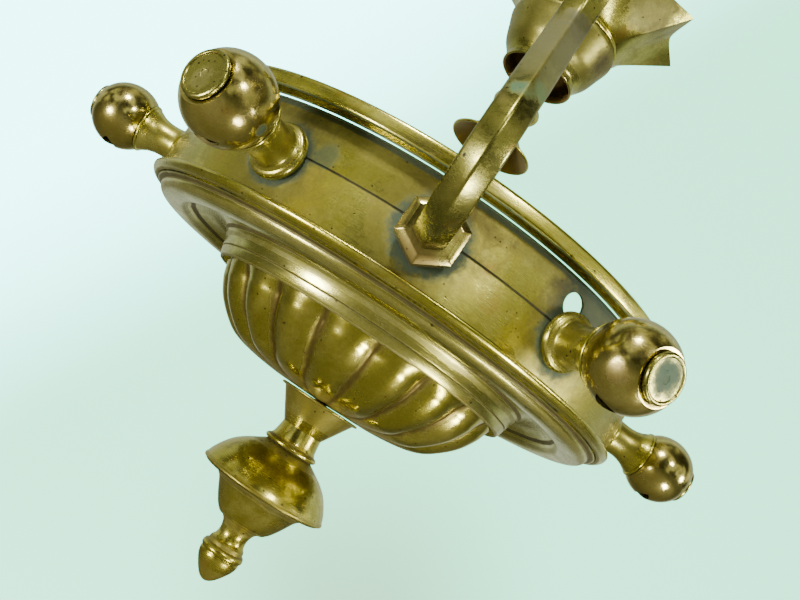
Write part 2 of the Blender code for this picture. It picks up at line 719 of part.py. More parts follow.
def arm_tube():
    """Six-sided tube swept along the path, with a corner on the outside of each bend."""
    path = [p * DRUM_R for p in smooth_path(arm_path(), 2)]
    corner = ARM_AF / 2.0 / math.cos(math.pi / 6.0)
    bore = ARM_BORE_AF / 2.0 / math.cos(math.pi / 6.0)
    points = []
    for radius in (corner, bore):
        for k, here in enumerate(path):
            ahead = path[min(k + 1, len(path) - 1)] - path[max(k - 1, 0)]
            along = ahead.normalized()
            if k == 0:
                along = Vector((math.cos(DROOP), -math.sin(DROOP)))
            if k == len(path) - 1:
                along = Vector((0.0, 1.0))
            normal = Vector((-along.y, along.x))
            for i in range(6):
                a = math.pi / 3.0 * i
                spot = here + normal * radius * math.cos(a)
                points.append((radius * math.sin(a), -spot.x, spot.y))
    rows = len(path)
    faces = []
    for shell in (0, rows * 6):
        for k in range(rows - 1):
            for i in range(6):
                j = (i + 1) % 6
                low = shell + k * 6
                faces.append([low + i, low + j, low + 6 + j, low + 6 + i])
    for k in (0, rows - 1):
        for i in range(6):
            j = (i + 1) % 6
            faces.append([k * 6 + i, k * 6 + j, rows * 6 + k * 6 + j, rows * 6 + k * 6 + i])
    node("arm_tube", mesh_of("arm_tube", points, faces), BRASS, 0.34, LEVEL, 25.0)


def seat_nut_mesh():
    """Nut with a round collar at the wall and wide bevels round its outer face."""
    corner = SEAT_NUT_AF / 2.0 / math.cos(math.pi / 6.0)
    flat = math.cos(math.pi / 6.0)
    low = FLANGE_BACK
    mid = SEAT_COLLAR_T
    high = SEAT_COLLAR_T + SEAT_NUT_T
    bore = FEED_R + GAP
    rows = [
        (bore, low, False), (SEAT_COLLAR_R, low, False), (SEAT_COLLAR_R, mid, False), (corner, mid, True),
        (corner, high - SEAT_BEVEL * 0.75, True), (corner - SEAT_BEVEL / flat, high, True), (bore, high, False),
    ]
    steps = 12
    points = []
    for r, z, six in rows:
        for i in range(steps):
            a = 2.0 * math.pi * i / steps
            rr = r
            if six:
                rr = r * flat / math.cos(a % (math.pi / 3.0) - math.pi / 6.0)
            points.append((rr * math.sin(a), rr * math.cos(a), z))
    faces = []
    for row in range(len(rows)):
        below = row * steps
        above = (row + 1) % len(rows) * steps
        for i in range(steps):
            j = (i + 1) % steps
            faces.append([below + i, below + j, above + j, above + i])
    return mesh_of("seat_nut", points, faces)


def seats(saddle):
    nut = seat_nut_mesh()
    for i, bearing in enumerate(SEAT_BEARINGS):
        name = "arm_nut" if i == 0 else f"seat_nut_{i + 1}"
        cut(node(name, nut, BRASS, 0.3, seat_frame(bearing, ARM_SHARE), 25.0), saddle)
    low = SEAT_COLLAR_T + SEAT_NUT_T * 0.4 + GAP
    high = SEAT_COLLAR_T + SEAT_NUT_T + 0.009
    outline = [
        (NIPPLE_BORE_R, low), (FEED_R, low), (FEED_R, high - 0.0007), (FEED_R - 0.0007, high),
        (NIPPLE_BORE_R, high),
    ]
    mesh = revolve("seat_nipple", outline, SMALL)
    for i in (1, 2):
        node(f"seat_nipple_{i + 1}", mesh, DARK_BRASS, 0.45, seat_frame(SEAT_BEARINGS[i], ARM_SHARE))


def cock_frame():
    """At the key's axis: Z up the arm's end, -Y away from the stem."""
    end = arm_path()[-1]
    height = end[1] * DRUM_R + GAP + COCK_H * 0.5
    return LEVEL @ Matrix.Translation((0.0, -ARM_REACH, height))


def cock_body():
    half = COCK_H / 2.0
    outline = [
        (0.0, -half), (COCK_NECK_R + 0.0008, -half), (COCK_NECK_R + 0.0016, -half + 0.0012),
        (COCK_NECK_R + 0.0016, -half + 0.0040), (COCK_NECK_R - 0.0006, -half + 0.0056),
    ]
    outline += arc((0.0, 0.0), COCK_R, -45.0, 45.0, 6)
    outline += [
        (COCK_NECK_R - 0.0010, half - 0.0070), (COCK_NECK_R - 0.0010, half - 0.0040),
        (COCK_NECK_R + 0.0006, half - 0.0028), (COCK_NECK_R + 0.0006, half - 0.0008),
        (COCK_NECK_R - 0.0002, half), (0.0, half),
    ]
    body = node("cock_body", revolve("cock_body", outline, 16), BRASS, 0.33, cock_frame())
    across = cock_frame() @ Matrix.Rotation(math.radians(90.0), 4, "X")
    bore(body, "key_bore", KEY_R + GAP, -COCK_R * 2.0, COCK_R * 2.0, across, 16)
    bore(body, "flat_front", COCK_R * 1.6, COCK_R - 0.0014, COCK_R * 2.0, across)
    bore(body, "flat_back", COCK_R * 1.6, -COCK_R * 2.0, 0.0014 - COCK_R, across)
    bore(body, "nipple_socket", NIPPLE_R - 0.0010 + GAP, half - 0.0060, half * 2.0, cock_frame())


def cock_key():
    """Round plug across the body with a flat oval thumb-piece on its outer end."""
    reach = COCK_R - 0.0014
    plug = rod_mesh("cock_key", KEY_R, -reach + GAP, reach + 0.0045, 16)
    rounded = []
    half_w = KEY_PADDLE_W / 2.0
    half_l = KEY_PADDLE_L / 2.0
    for i in range(20):
        a = 2.0 * math.pi * i / 20
        waist = 1.0 - 0.22 * math.cos(2.0 * a) ** 2 * abs(math.sin(a)) ** 0.5
        rounded.append((half_w * math.sin(a) * waist, half_l * math.cos(a)))
    low = reach + 0.0035
    high = low + KEY_PADDLE_T
    points = [(x, y, low) for x, y in rounded] + [(x, y, high) for x, y in rounded]
    faces = [list(range(20)), list(range(20, 40))]
    for i in range(20):
        j = (i + 1) % 20
        faces.append([i, j, 20 + j, 20 + i])
    paddle = mesh_of("paddle", points, faces)
    frame = cock_frame() @ Matrix.Rotation(math.radians(90.0), 4, "X")
    key = node("cock_key", plug, PALE_BRASS, 0.35, frame)
    tool = cutter("paddle", paddle, frame)
    join = cut(key, tool)
    join.operation = "UNION"
    screw = [
        (0.0, -reach - 0.0042), (KEY_SCREW_R - 0.0012, -reach - 0.0042), (KEY_SCREW_R - 0.0004, -reach - 0.0034),
        (KEY_SCREW_R - 0.0004, -reach - 0.0018), (KEY_SCREW_R + 0.0008, -reach - 0.0014),
        (KEY_SCREW_R + 0.0008, -reach - GAP), (0.0, -reach - GAP),
    ]
    head = node("key_screw", revolve("key_screw", screw, SMALL), DARK_BRASS, 0.4, frame)
    notch = mesh_of("notch", [(x, y, z) for z in (-reach - 0.006, -reach - 0.0034)
                              for x, y in ((-0.0005, -0.01), (0.0005, -0.01), (0.0005, 0.01), (-0.0005, 0.01))],
                    [[0, 1, 2, 3], [4, 5, 6, 7], [0, 1, 5, 4], [1, 2, 6, 5], [2, 3, 7, 6], [3, 0, 4, 7]])
    cut(head, cutter("notch", notch, frame))


def end_nipple():
    """Open threaded nipple in the top of the cock; the threads are fine grooves."""
    half = COCK_H / 2.0
    low = half - 0.0060 + GAP
    high = half + NIPPLE_L
    r = NIPPLE_R - 0.0010
    outline = [(NIPPLE_BORE_R, low), (r, low), (r, half + 0.0004), (NIPPLE_R, half + 0.0010)]
    turns = 4
    pitch = (high - 0.0012 - half - 0.0014) / turns
    for i in range(turns):
        z = half + 0.0014 + pitch * i
        outline += [(NIPPLE_R, z), (NIPPLE_R - 0.0005, z + pitch * 0.5)]
    outline += [(NIPPLE_R, high - 0.0012), (NIPPLE_R - 0.0008, high), (NIPPLE_BORE_R, high)]
    node("end_nipple", revolve("end_nipple", outline, SMALL), PALE_BRASS, 0.4, cock_frame(), 25.0)


def build():
    clear_scene()
    for make in (ceiling_plate, ceiling_canopy, stem_pipe, crown_lock_nut, star_crown, crown_ring,
                 upper_slip_bell, lower_slip_bell, stem_coupling, gas_hub, feed_pipes, drum_wall,
                 drum_astragal, top_rim, lower_pan, fluted_bowl, tie_rod, finial_neck, finial_dome,
                 finial_cup, finial_acorn, arm_tube, cock_body, cock_key, end_nipple):
        make()
    saddle = wall_saddle()
    ball_outlets(saddle)
    seats(saddle)


build()
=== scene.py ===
"""Looks of a hanging brass gas chandelier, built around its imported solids.

Metres, +Z up, origin in the middle of the ceiling plate's top face, fitted arm towards -Y.
Heights given as a share of the drum's radius are counted from the drum's lower edge.
"""

import math

import bmesh
import bpy
from mathutils import Matrix, Vector


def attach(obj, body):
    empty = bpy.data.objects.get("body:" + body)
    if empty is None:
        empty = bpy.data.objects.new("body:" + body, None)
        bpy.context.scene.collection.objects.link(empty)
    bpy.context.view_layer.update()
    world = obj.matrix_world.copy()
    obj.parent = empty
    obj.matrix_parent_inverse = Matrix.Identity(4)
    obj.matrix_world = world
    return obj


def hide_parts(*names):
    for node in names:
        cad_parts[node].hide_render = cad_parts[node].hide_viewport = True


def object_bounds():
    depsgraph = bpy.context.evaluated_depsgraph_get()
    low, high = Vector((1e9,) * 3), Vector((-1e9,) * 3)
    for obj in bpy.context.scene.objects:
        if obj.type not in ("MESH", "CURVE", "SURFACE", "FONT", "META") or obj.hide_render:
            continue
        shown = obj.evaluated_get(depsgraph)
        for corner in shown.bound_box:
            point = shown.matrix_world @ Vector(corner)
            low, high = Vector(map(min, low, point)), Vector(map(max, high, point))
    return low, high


bl_info = {
    "name": "Brass Gas Chandelier",
    "version": (1, 0, 0),
    "blender": (4, 5, 0),
    "location": "View3D > Sidebar > Chandelier",
    "description": "Builds the finished pieces, brass finishes and stage of a hanging gas chandelier",
    "category": "Object",
}

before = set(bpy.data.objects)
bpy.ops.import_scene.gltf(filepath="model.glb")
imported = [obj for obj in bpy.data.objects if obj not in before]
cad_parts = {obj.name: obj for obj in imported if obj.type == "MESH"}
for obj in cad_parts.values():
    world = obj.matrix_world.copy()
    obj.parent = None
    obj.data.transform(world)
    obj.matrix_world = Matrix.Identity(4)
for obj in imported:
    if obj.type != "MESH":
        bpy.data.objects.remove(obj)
CAD_BOX = [list(corner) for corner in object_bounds()]

DROP = 0.440
GAP = 0.0003          # clearance between fitted parts
WALL_LOW = (0.992, 0.026)
WALL_TOP = (0.975, 0.336)
WALL_SLOPE = (WALL_LOW[0] - WALL_TOP[0]) / (WALL_TOP[1] - WALL_LOW[1])
BALL_SHARE = 0.160
ARM_SHARE = 0.167
SCORE_SHARE = 0.180
LEAN = math.radians(2.75)
HUB_SHARE = 0.2143
STEM_R = 0.00685
ROD_R = 0.0040
FEED_R = 0.0060
SHEET_T = 0.0013
WALL_T = 0.0014
BALL_T = 0.0014
NECK_L = 0.0267
BACK_CUT = 0.68       # plane cuts of the ball, as shares of its radius
FRONT_CUT = 0.78
SLOT_HALF = (0.00825, 0.0036)
CAP_T = 0.0022
NUT_FOOT = 0.0028
NUT_FACE = NUT_FOOT + 0.0098
ARM_BORE = 0.0048
ARM_REACH = 0.3066
COCK_HALF = 0.018
COCK_LEVEL = 1.040
SEAT_BEARINGS = (0.0, 120.0, -120.0)
FIRST_BALL = math.radians(30.0)
BALL_STEP = math.radians(60.0)
SEAT_STEP = math.radians(120.0)
EYE = (0.0012, -0.4526, -0.4960)
AHEAD = (0.00892, 0.98609, 0.16600)


# --- settings -------------------------------------------------------------------------------

class ChandelierSizes(bpy.types.PropertyGroup):
    drum_radius: bpy.props.FloatProperty(
        name="Drum radius", description="Radius of the drum wall at its lower edge",
        default=0.146, unit="LENGTH")
    ball_radius: bpy.props.FloatProperty(
        name="Ball radius", description="Radius of each slotted ball", default=0.0190, unit="LENGTH")
    ball_count: bpy.props.IntProperty(
        name="Balls", description="Ball outlets round the drum", default=6, min=1)
    flute_count: bpy.props.IntProperty(
        name="Lobes", description="Lobes round the bowl", default=18, min=4)
    flute_depth: bpy.props.FloatProperty(
        name="Lobe depth", description="How deep the grooves between the bowl's lobes are",
        default=0.0058, unit="LENGTH")
    crown_points: bpy.props.IntProperty(
        name="Crown points", description="Points round the star crown", default=8, min=3)
    arm_flats: bpy.props.FloatProperty(
        name="Arm width", description="Arm tube across its flats", default=0.0149, unit="LENGTH")
    nut_flats: bpy.props.FloatProperty(
        name="Seat nut width", description="Arm seat nut across its flats", default=0.0264, unit="LENGTH")


class ChandelierFinish(bpy.types.PropertyGroup):
    bright: bpy.props.FloatVectorProperty(
        name="Bright brass", description="Brass where it is rubbed", subtype="COLOR",
        default=(0.90, 0.83, 0.24), min=0.0, max=1.0)
    middle: bpy.props.FloatVectorProperty(
        name="Aged brass", description="Olive brass of most surfaces", subtype="COLOR",
        default=(0.58, 0.530, 0.085), min=0.0, max=1.0)
    deep: bpy.props.FloatVectorProperty(
        name="Patina", description="Brown patina of recesses", subtype="COLOR",
        default=(0.090, 0.068, 0.014), min=0.0, max=1.0)
    verdigris: bpy.props.FloatVectorProperty(
        name="Verdigris", description="Blue-green crust round the seats", subtype="COLOR",
        default=(0.020, 0.085, 0.075), min=0.0, max=1.0)
    floor: bpy.props.FloatVectorProperty(
        name="Floor", description="Colour of the stage floor", subtype="COLOR",
        default=(0.74, 0.86, 0.82), min=0.0, max=1.0)


def sizes():
    return bpy.context.scene.chandelier_sizes


def finish():
    return bpy.context.scene.chandelier_finish


# --- outlines and meshes ----------------------------------------------------------------------

def wall_radius(height):
    return WALL_LOW[0] - (height - WALL_LOW[1]) * WALL_SLOPE


def flow(points, per=5):
    """Smooth run through the points, ends included."""
    if len(points) < 3:
        return [tuple(p) for p in points]
    first = Vector(points[0]) * 2.0 - Vector(points[1])
    last = Vector(points[-1]) * 2.0 - Vector(points[-2])
    ends = [first] + [Vector(p) for p in points] + [last]
    out = []
    for k in range(1, len(ends) - 2):
        p0, p1, p2, p3 = ends[k - 1:k + 3]
        for i in range(per):
            t = i / per
            out.append(tuple(0.5 * (2.0 * p1 + (p2 - p0) * t + (2.0 * p0 - 5.0 * p1 + 4.0 * p2 - p3) * t * t
                                    + (3.0 * p1 - p0 - 3.0 * p2 + p3) * t ** 3)))
    out.append(tuple(points[-1]))
    return out


def profile(runs, edge=0.0030, closed=True, per=5):
    """Outline through the runs; each starts where the one before ended, at a softened corner."""
    line = flow(runs[0], per)
    corners = set()
    for run in runs[1:]:
        corners.add(len(line) - 1)
        start = [] if (Vector(line[-1]) - Vector(run[0])).length < 1e-6 else [line[-1]]
        line += flow(start + list(run), per)[1:]
    if closed:
        corners.update((0, len(line) - 1))
    out = []
    for i, here in enumerate(line):
        if i not in corners or here[0] < 1e-6:
            out.append(here)
            continue
        here = Vector(here)
        back = Vector(line[i - 1]) - here
        ahead = Vector(line[(i + 1) % len(line)]) - here
        if back.length < 1e-7 or ahead.length < 1e-7:
            continue
        size = min(edge, back.length * 0.45, ahead.length * 0.45)
        a = here + back.normalized() * size
        b = here + ahead.normalized() * size
        for k in range(5):
            t = k / 4.0
            out.append(tuple(a * (1 - t) ** 2 + here * (2 * t * (1 - t)) + b * t * t))
    return out


def sized(outline, share):
    return [(r * share, z * share) for r, z in outline]


def mesh_of(name, points, faces):
    mesh = bpy.data.meshes.new(name)
    mesh.from_pydata(points, [], faces)
    work = bmesh.new()
    work.from_mesh(mesh)
    bmesh.ops.remove_doubles(work, verts=work.verts, dist=1e-7)
    bmesh.ops.recalc_face_normals(work, faces=work.faces)
    work.to_mesh(mesh)
    work.free()
    return mesh


def turned(name, outline, steps=128):
    """Closed outline of (radius, height) turned about Z."""
    points = []
    rows = []
    for r, z in outline:
        if r < 1e-6:
            rows.append([len(points)] * steps)
            points.append((0.0, 0.0, z))
            continue
        rows.append(list(range(len(points), len(points) + steps)))
        for i in range(steps):
            a = 2.0 * math.pi * i / steps
            points.append((r * math.sin(a), -r * math.cos(a), z))
    faces = []
    for a, b in zip(rows, rows[1:] + rows[:1]):
        for i in range(steps):
            j = (i + 1) % steps
            corners = []
            for corner in (a[i], a[j], b[j], b[i]):
                if corner not in corners:
                    corners.append(corner)
            if len(corners) > 2:
                faces.append(corners)
    return mesh_of(name, points, faces)


def lofted(name, rings, capped=True):
    """Rings of equal length joined one to the next."""
    count = len(rings[0])
    points = [tuple(p) for ring in rings for p in ring]
    faces = []
    for k in range(len(rings) - 1):
        for i in range(count):
            j = (i + 1) % count
            faces.append([k * count + i, k * count + j, (k + 1) * count + j, (k + 1) * count + i])
    if capped:
        faces.append(list(range(count)))
        faces.append([(len(rings) - 1) * count + i for i in range(count)])
    return mesh_of(name, points, faces)


def flat_sided(radius, sides, fillet, per=4):
    """Points of a polygon with rounded corners; radius reaches the flats, first corner at 0."""
    corner = radius / math.cos(math.pi / sides)
    tips = [Vector((corner * math.sin(2 * math.pi * i / sides),
                    corner * math.cos(2 * math.pi * i / sides)))
            for i in range(sides)]
    out = []
    for i, here in enumerate(tips):
        back = (tips[i - 1] - here).normalized() * fillet
        ahead = (tips[(i + 1) % sides] - here).normalized() * fillet
        for k in range(per + 1):
            t = k / per
            out.append((here + back) * (1 - t) ** 2 + here * (2 * t * (1 - t)) + (here + ahead) * t * t)
    return out


def seat_frame(bearing, height):
    """Frame on the wall's outer face: Z outwards and a little down, Y up, X to the side."""
    share = sizes().drum_radius
    turn = math.radians(bearing)
    r = wall_radius(height) * share
    out = Vector((math.sin(turn) * math.cos(LEAN), -math.cos(turn) * math.cos(LEAN), -math.sin(LEAN)))
    side = Vector((math.cos(turn), math.sin(turn), 0.0))
    placed = Matrix((side, out.cross(side), out)).transposed().to_4x4()
    placed.translation = (r * math.sin(turn), -r * math.cos(turn), height * share - DROP)
    return placed


def lift(mesh, height=-DROP):
    mesh.transform(Matrix.Translation((0.0, 0.0, height)))
    return mesh


def joined(name, meshes):
    work = bmesh.new()
    for mesh in meshes:
        work.from_mesh(mesh)
    out = bpy.data.meshes.new(name)
    work.to_mesh(out)
    work.free()
    return out


def spun(name, runs, steps=128, edge=0.0030, per=5, closed=True):
    """Outline in shares of the drum's radius, turned and set on the drum's lower edge."""
    return lift(turned(name, sized(profile(runs, edge, closed, per), sizes().drum_radius), steps))


def cut_by(mesh, tool):
    """The mesh with the tool's shape taken out of it."""
    body = bpy.data.objects.new("work_body", mesh)
    knife = bpy.data.objects.new("work_knife", tool)
    for thing in (body, knife):
        bpy.context.scene.collection.objects.link(thing)
    step = body.modifiers.new("cut", "BOOLEAN")
    step.operation = "DIFFERENCE"
    step.solver = "EXACT"
    step.object = knife
    bpy.context.view_layer.update()
    out = bpy.data.meshes.new_from_object(body.evaluated_get(bpy.context.evaluated_depsgraph_get()))
    for thing in (body, knife):
        bpy.data.objects.remove(thing, do_unlink=True)
    return out


def mark_lining(mesh):
    """Keeps on the mesh how far each point looks in towards the stem, for the dull linings."""
    mark = mesh.attributes.new("lining", "FLOAT", "POINT")
    values = []
    for vertex in mesh.vertices:
        reach = math.hypot(vertex.co.x, vertex.co.y)
        out = 0.0
        if reach > 1e-6:
            out = (vertex.normal.x * vertex.co.x + vertex.normal.y * vertex.co.y) / reach
        values.append(1.0 if out < -0.25 else 0.0)
    mark.data.foreach_set("value", values)


def piece(name, mesh, look, body, nodes, sharp=38.0):
    """A finished piece that rides on a body and stands for the nodes."""
    made = bpy.data.objects.new(name, mesh)
    bpy.context.scene.collection.objects.link(made)
    mesh.materials.clear()
    mesh.materials.append(look)
    mesh.shade_smooth()
    mesh.set_sharp_from_angle(angle=math.radians(sharp))
    mark_lining(mesh)
    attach(made, body)
    if nodes:
        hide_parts(*nodes)
    return made


# --- node helpers -----------------------------------------------------------------------------

class Tree:
    """Short hand for adding and wiring nodes."""

    def __init__(self, tree):
        self.tree = tree

    def add(self, kind, **values):
        made = self.tree.nodes.new(kind)
        for key, value in values.items():
            setattr(made, key, value)
        return made

    def wire(self, source, target):
        self.tree.links.new(source, target)

    def give(self, value, socket):
        """Wires the socket from another one, or sets it to a plain value."""
        if isinstance(value, bpy.types.NodeSocket):
            self.wire(value, socket)
        else:
            socket.default_value = value

    def maths(self, operation, a, b=None, c=None, clamp=False):
        made = self.add("ShaderNodeMath", operation=operation, use_clamp=clamp)
        for socket, value in zip(made.inputs, (a, b, c)):
            if value is not None:
                self.give(value, socket)
        return made.outputs[0]

    def smooth(self, value, low, high, start=0.0, end=1.0):
        made = self.add("ShaderNodeMapRange", interpolation_type="SMOOTHSTEP")
        for socket, given in zip(made.inputs[:5], (value, low, high, start, end)):
            self.give(given, socket)
        return made.outputs[0]

    def mixed(self, factor, a, b):
        made = self.add("ShaderNodeMix", data_type="RGBA")
        for socket, given in zip((made.inputs[0], made.inputs[6], made.inputs[7]), (factor, a, b)):
            self.give(given, socket)
        return made.outputs[2]

    def noise(self, vector, scale, detail=3.0, rough=0.55, distortion=0.0):
        made = self.add("ShaderNodeTexNoise")
        self.wire(vector, made.inputs["Vector"])
        self.give(scale, made.inputs["Scale"])
        made.inputs["Detail"].default_value = detail
        made.inputs["Roughness"].default_value = rough
        made.inputs["Distortion"].default_value = distortion
        return made.outputs["Fac"]


def group(name, inputs, outputs, build):
    """Shader node group, made once; build wires it from its own inputs."""
    if name in bpy.data.node_groups:
        return bpy.data.node_groups[name]
    made = bpy.data.node_groups.new(name, "ShaderNodeTree")
    for label, kind, value in inputs:
        socket = made.interface.new_socket(name=label, in_out="INPUT", socket_type="NodeSocket" + kind)
        socket.default_value = value
    for label, kind in outputs:
        made.interface.new_socket(name=label, in_out="OUTPUT", socket_type="NodeSocket" + kind)
    tree = Tree(made)
    given = tree.add("NodeGroupInput")
    result = tree.add("NodeGroupOutput")
    for label, socket in build(tree, given.outputs).items():
        tree.wire(socket, result.inputs[label])
    return made


def split_place(t):
    """Object place, its three parts, and the angle and reach about the stem."""
    where = t.add("ShaderNodeTexCoord").outputs["Object"]
    parts = t.add("ShaderNodeSeparateXYZ")
    t.wire(where, parts.inputs[0])
    x, y, z = parts.outputs
    angle = t.maths("ARCTAN2", x, t.maths("MULTIPLY", y, -1.0))
    radius = t.maths("SQRT", t.maths("ADD", t.maths("MULTIPLY", x, x), t.maths("MULTIPLY", y, y)))
    return where, z, angle, radius


def aged_tone():
    """Drifting brass tone: rubbed places, olive ground and brown patina, at one overall scale."""
    def build(t, given):
        where = t.add("ShaderNodeTexCoord").outputs["Object"]
        moved = t.add("ShaderNodeVectorMath", operation="ADD")
        t.wire(where, moved.inputs[0])
        t.wire(given["Shift"], moved.inputs[1])
        where = moved.outputs[0]
        broad = t.noise(where, t.maths("MULTIPLY", given["Scale"], 22.0), 4.0, 0.6, 0.6)
        fine = t.noise(where, t.maths("MULTIPLY", given["Scale"], 130.0), 5.0, 0.65, 0.3)
        grit = t.noise(where, t.maths("MULTIPLY", given["Scale"], 900.0), 2.0, 0.6)
        blend = t.maths("ADD", t.maths("MULTIPLY", broad, 0.7), t.maths("MULTIPLY", fine, 0.3))
        rubbed = t.smooth(blend, 0.44, 0.66)
        colour = t.mixed(rubbed, given["Middle"], given["Bright"])
        blotch = t.noise(where, t.maths("MULTIPLY", given["Scale"], 38.0), 6.0, 0.7, 1.2)
        mask = t.maths("MULTIPLY", t.smooth(blotch, 0.50, 0.72), given["Patina"], clamp=True)
        mask = t.maths("MULTIPLY", mask, t.smooth(fine, 0.25, 0.6, 0.5, 1.0))
        colour = t.mixed(mask, colour, given["Deep"])
        warm = t.maths("MULTIPLY", t.smooth(t.noise(where, t.maths("MULTIPLY", given["Scale"], 60.0),
                                                    3.0), 0.6, 0.75), 0.25)
        colour = t.mixed(warm, colour, (0.55, 0.25, 0.05, 1.0))
        colour = t.mixed(t.smooth(grit, 0.35, 0.7, 0.0, 0.22), colour, given["Deep"])
        rough = t.maths("ADD", t.smooth(blend, 0.35, 0.7, 0.03, -0.06), t.maths("MULTIPLY", mask, 0.22))
        rough = t.maths("ADD", rough, given["Roughness"], clamp=True)
        height = t.maths("ADD", t.maths("MULTIPLY", fine, 0.6), t.maths("MULTIPLY", grit, 0.4))
        return {"Colour": colour, "Rough": rough, "Patina": mask, "Height": height}

    return group("Aged brass tone", [
        ("Bright", "Color", (0.7, 0.6, 0.2, 1)), ("Middle", "Color", (0.5, 0.4, 0.1, 1)),
        ("Deep", "Color", (0.1, 0.06, 0.02, 1)), ("Patina", "Float", 0.6), ("Scale", "Float", 1.0),
        ("Roughness", "Float", 0.25), ("Shift", "Vector", (0.0, 0.0, 0.0)),
    ], [("Colour", "Color"), ("Rough", "Float"), ("Patina", "Float"), ("Height", "Float")], build)


def lathe_marks():
    """Fine lines left by turning and buffing, running round the stem's axis."""
    def build(t, given):
        _, z, angle, radius = split_place(t)
        joined_up = t.add("ShaderNodeCombineXYZ")
        t.wire(t.maths("MULTIPLY", angle, given["Along"]), joined_up.inputs[0])
        t.wire(t.maths("MULTIPLY", z, given["Across"]), joined_up.inputs[1])
        t.wire(t.maths("MULTIPLY", radius, given["Across"]), joined_up.inputs[2])
        lines = t.noise(joined_up.outputs[0], 1.0, 4.0, 0.7)
        return {"Height": lines, "Streak": t.smooth(lines, 0.40, 0.68)}

    return group("Lathe marks", [("Along", "Float", 7.0), ("Across", "Float", 2600.0)],
                 [("Height", "Float"), ("Streak", "Float")], build)


def specks():
    """Small scattered dark spots."""
    def build(t, given):
        where = t.add("ShaderNodeTexCoord").outputs["Object"]
        cells = t.add("ShaderNodeTexVoronoi", feature="F1")
        t.wire(where, cells.inputs["Vector"])
        t.wire(t.maths("DIVIDE", 1.0, given["Spacing"]), cells.inputs["Scale"])
        near = t.smooth(cells.outputs["Distance"], given["Size"],
                        t.maths("MULTIPLY", given["Size"], 1.5), 1.0, 0.0)
        pick = t.add("ShaderNodeSeparateColor")
        t.wire(cells.outputs["Color"], pick.inputs[0])
        few = t.maths("LESS_THAN", pick.outputs[0], given["Share"])
        return {"Mask": t.maths("MULTIPLY", near, few)}

    return group("Specks", [("Spacing", "Float", 0.004), ("Size", "Float", 0.12),
                            ("Share", "Float", 0.3)],
                 [("Mask", "Float")], build)


def seat_halo():
    """Ring of staining on the wall round seats that repeat by a fixed turn."""
    def build(t, given):
        where, z, angle, radius = split_place(t)
        half = t.maths("MULTIPLY", given["Repeat"], 0.5)
        local = t.maths("SUBTRACT", t.maths("FLOORED_MODULO", t.maths(
            "ADD", t.maths("SUBTRACT", angle, given["First"]), half), given["Repeat"]), half)
        side = t.maths("MULTIPLY", local, radius)
        up = t.maths("SUBTRACT", z, given["Height"])
        far = t.maths("SQRT", t.maths("ADD", t.maths("MULTIPLY", side, side),
                                      t.maths("MULTIPLY", up, up)))
        ragged = t.maths("MULTIPLY", t.maths("SUBTRACT", t.noise(where, 260.0, 4.0, 0.7), 0.5),
                         given["Width"])
        far = t.maths("ADD", far, t.maths("MULTIPLY", ragged, 1.6))
        return {"Mask": t.smooth(far, given["Radius"], t.maths("ADD", given["Radius"], given["Width"]),
                                 1.0, 0.0)}

    return group("Seat halo", [
        ("First", "Float", 0.0), ("Repeat", "Float", 6.2832), ("Height", "Float", 0.0),
        ("Radius", "Float", 0.013), ("Width", "Float", 0.005),
    ], [("Mask", "Float")], build)


def level_band():
    """Mask between two heights, with ragged soft ends."""
    def build(t, given):
        where = t.add("ShaderNodeTexCoord").outputs["Object"]
        parts = t.add("ShaderNodeSeparateXYZ")
        t.wire(where, parts.inputs[0])
        wander = t.maths("MULTIPLY", t.maths("SUBTRACT", t.noise(where, 120.0, 3.0), 0.5), given["Soft"])
        z = t.maths("ADD", parts.outputs[2], wander)
        rise = t.smooth(z, t.maths("SUBTRACT", given["Low"], given["Soft"]), given["Low"])
        fall = t.smooth(z, given["High"], t.maths("ADD", given["High"], given["Soft"]), 1.0, 0.0)
        return {"Mask": t.maths("MULTIPLY", rise, fall)}

    return group("Level band", [("Low", "Float", 0.0), ("High", "Float", 0.01), ("Soft", "Float", 0.002)],
                 [("Mask", "Float")], build)


def ragged_blotch():
    """One ragged blotch about a place; most are stains, some are painted shade and a painted reflection."""
    def build(t, given):
        where = t.add("ShaderNodeTexCoord").outputs["Object"]
        away = t.add("ShaderNodeVectorMath", operation="DISTANCE")
        t.wire(where, away.inputs[0])
        t.wire(given["Place"], away.inputs[1])
        ragged = t.maths("MULTIPLY", t.maths("SUBTRACT", t.noise(where, 180.0, 5.0, 0.7), 0.5),
                         given["Radius"])
        far = t.maths("ADD", away.outputs["Value"], ragged)
        return {"Mask": t.smooth(far, t.maths("MULTIPLY", given["Radius"], 0.55), given["Radius"], 1.0,
                                 0.0)}

    return group("Stain patch", [("Place", "Vector", (0.0, 0.0, 0.0)), ("Radius", "Float", 0.01)],
                 [("Mask", "Float")], build)


def groove_dirt_and_shade():
    """Dirt and painted shade in the grooves between the bowl's lobes."""
    def build(t, given):
        where, _, angle, _ = split_place(t)
        phase = t.maths("MULTIPLY", t.maths("SUBTRACT", angle, given["Turn"]),
                        t.maths("MULTIPLY", given["Count"], 0.5))
        wave = t.maths("ABSOLUTE", t.maths("SINE", phase))
        wave = t.maths("ADD", wave, t.maths("MULTIPLY",
                                            t.maths("SUBTRACT", t.noise(where, 150.0, 3.0), 0.5), 0.35))
        return {"Mask": t.smooth(wave, 0.05, given["Width"], 1.0, 0.0)}

    return group("Groove dirt", [("Count", "Float", 18.0), ("Turn", "Float", 0.0),
                                 ("Width", "Float", 0.4)],
                 [("Mask", "Float")], build)


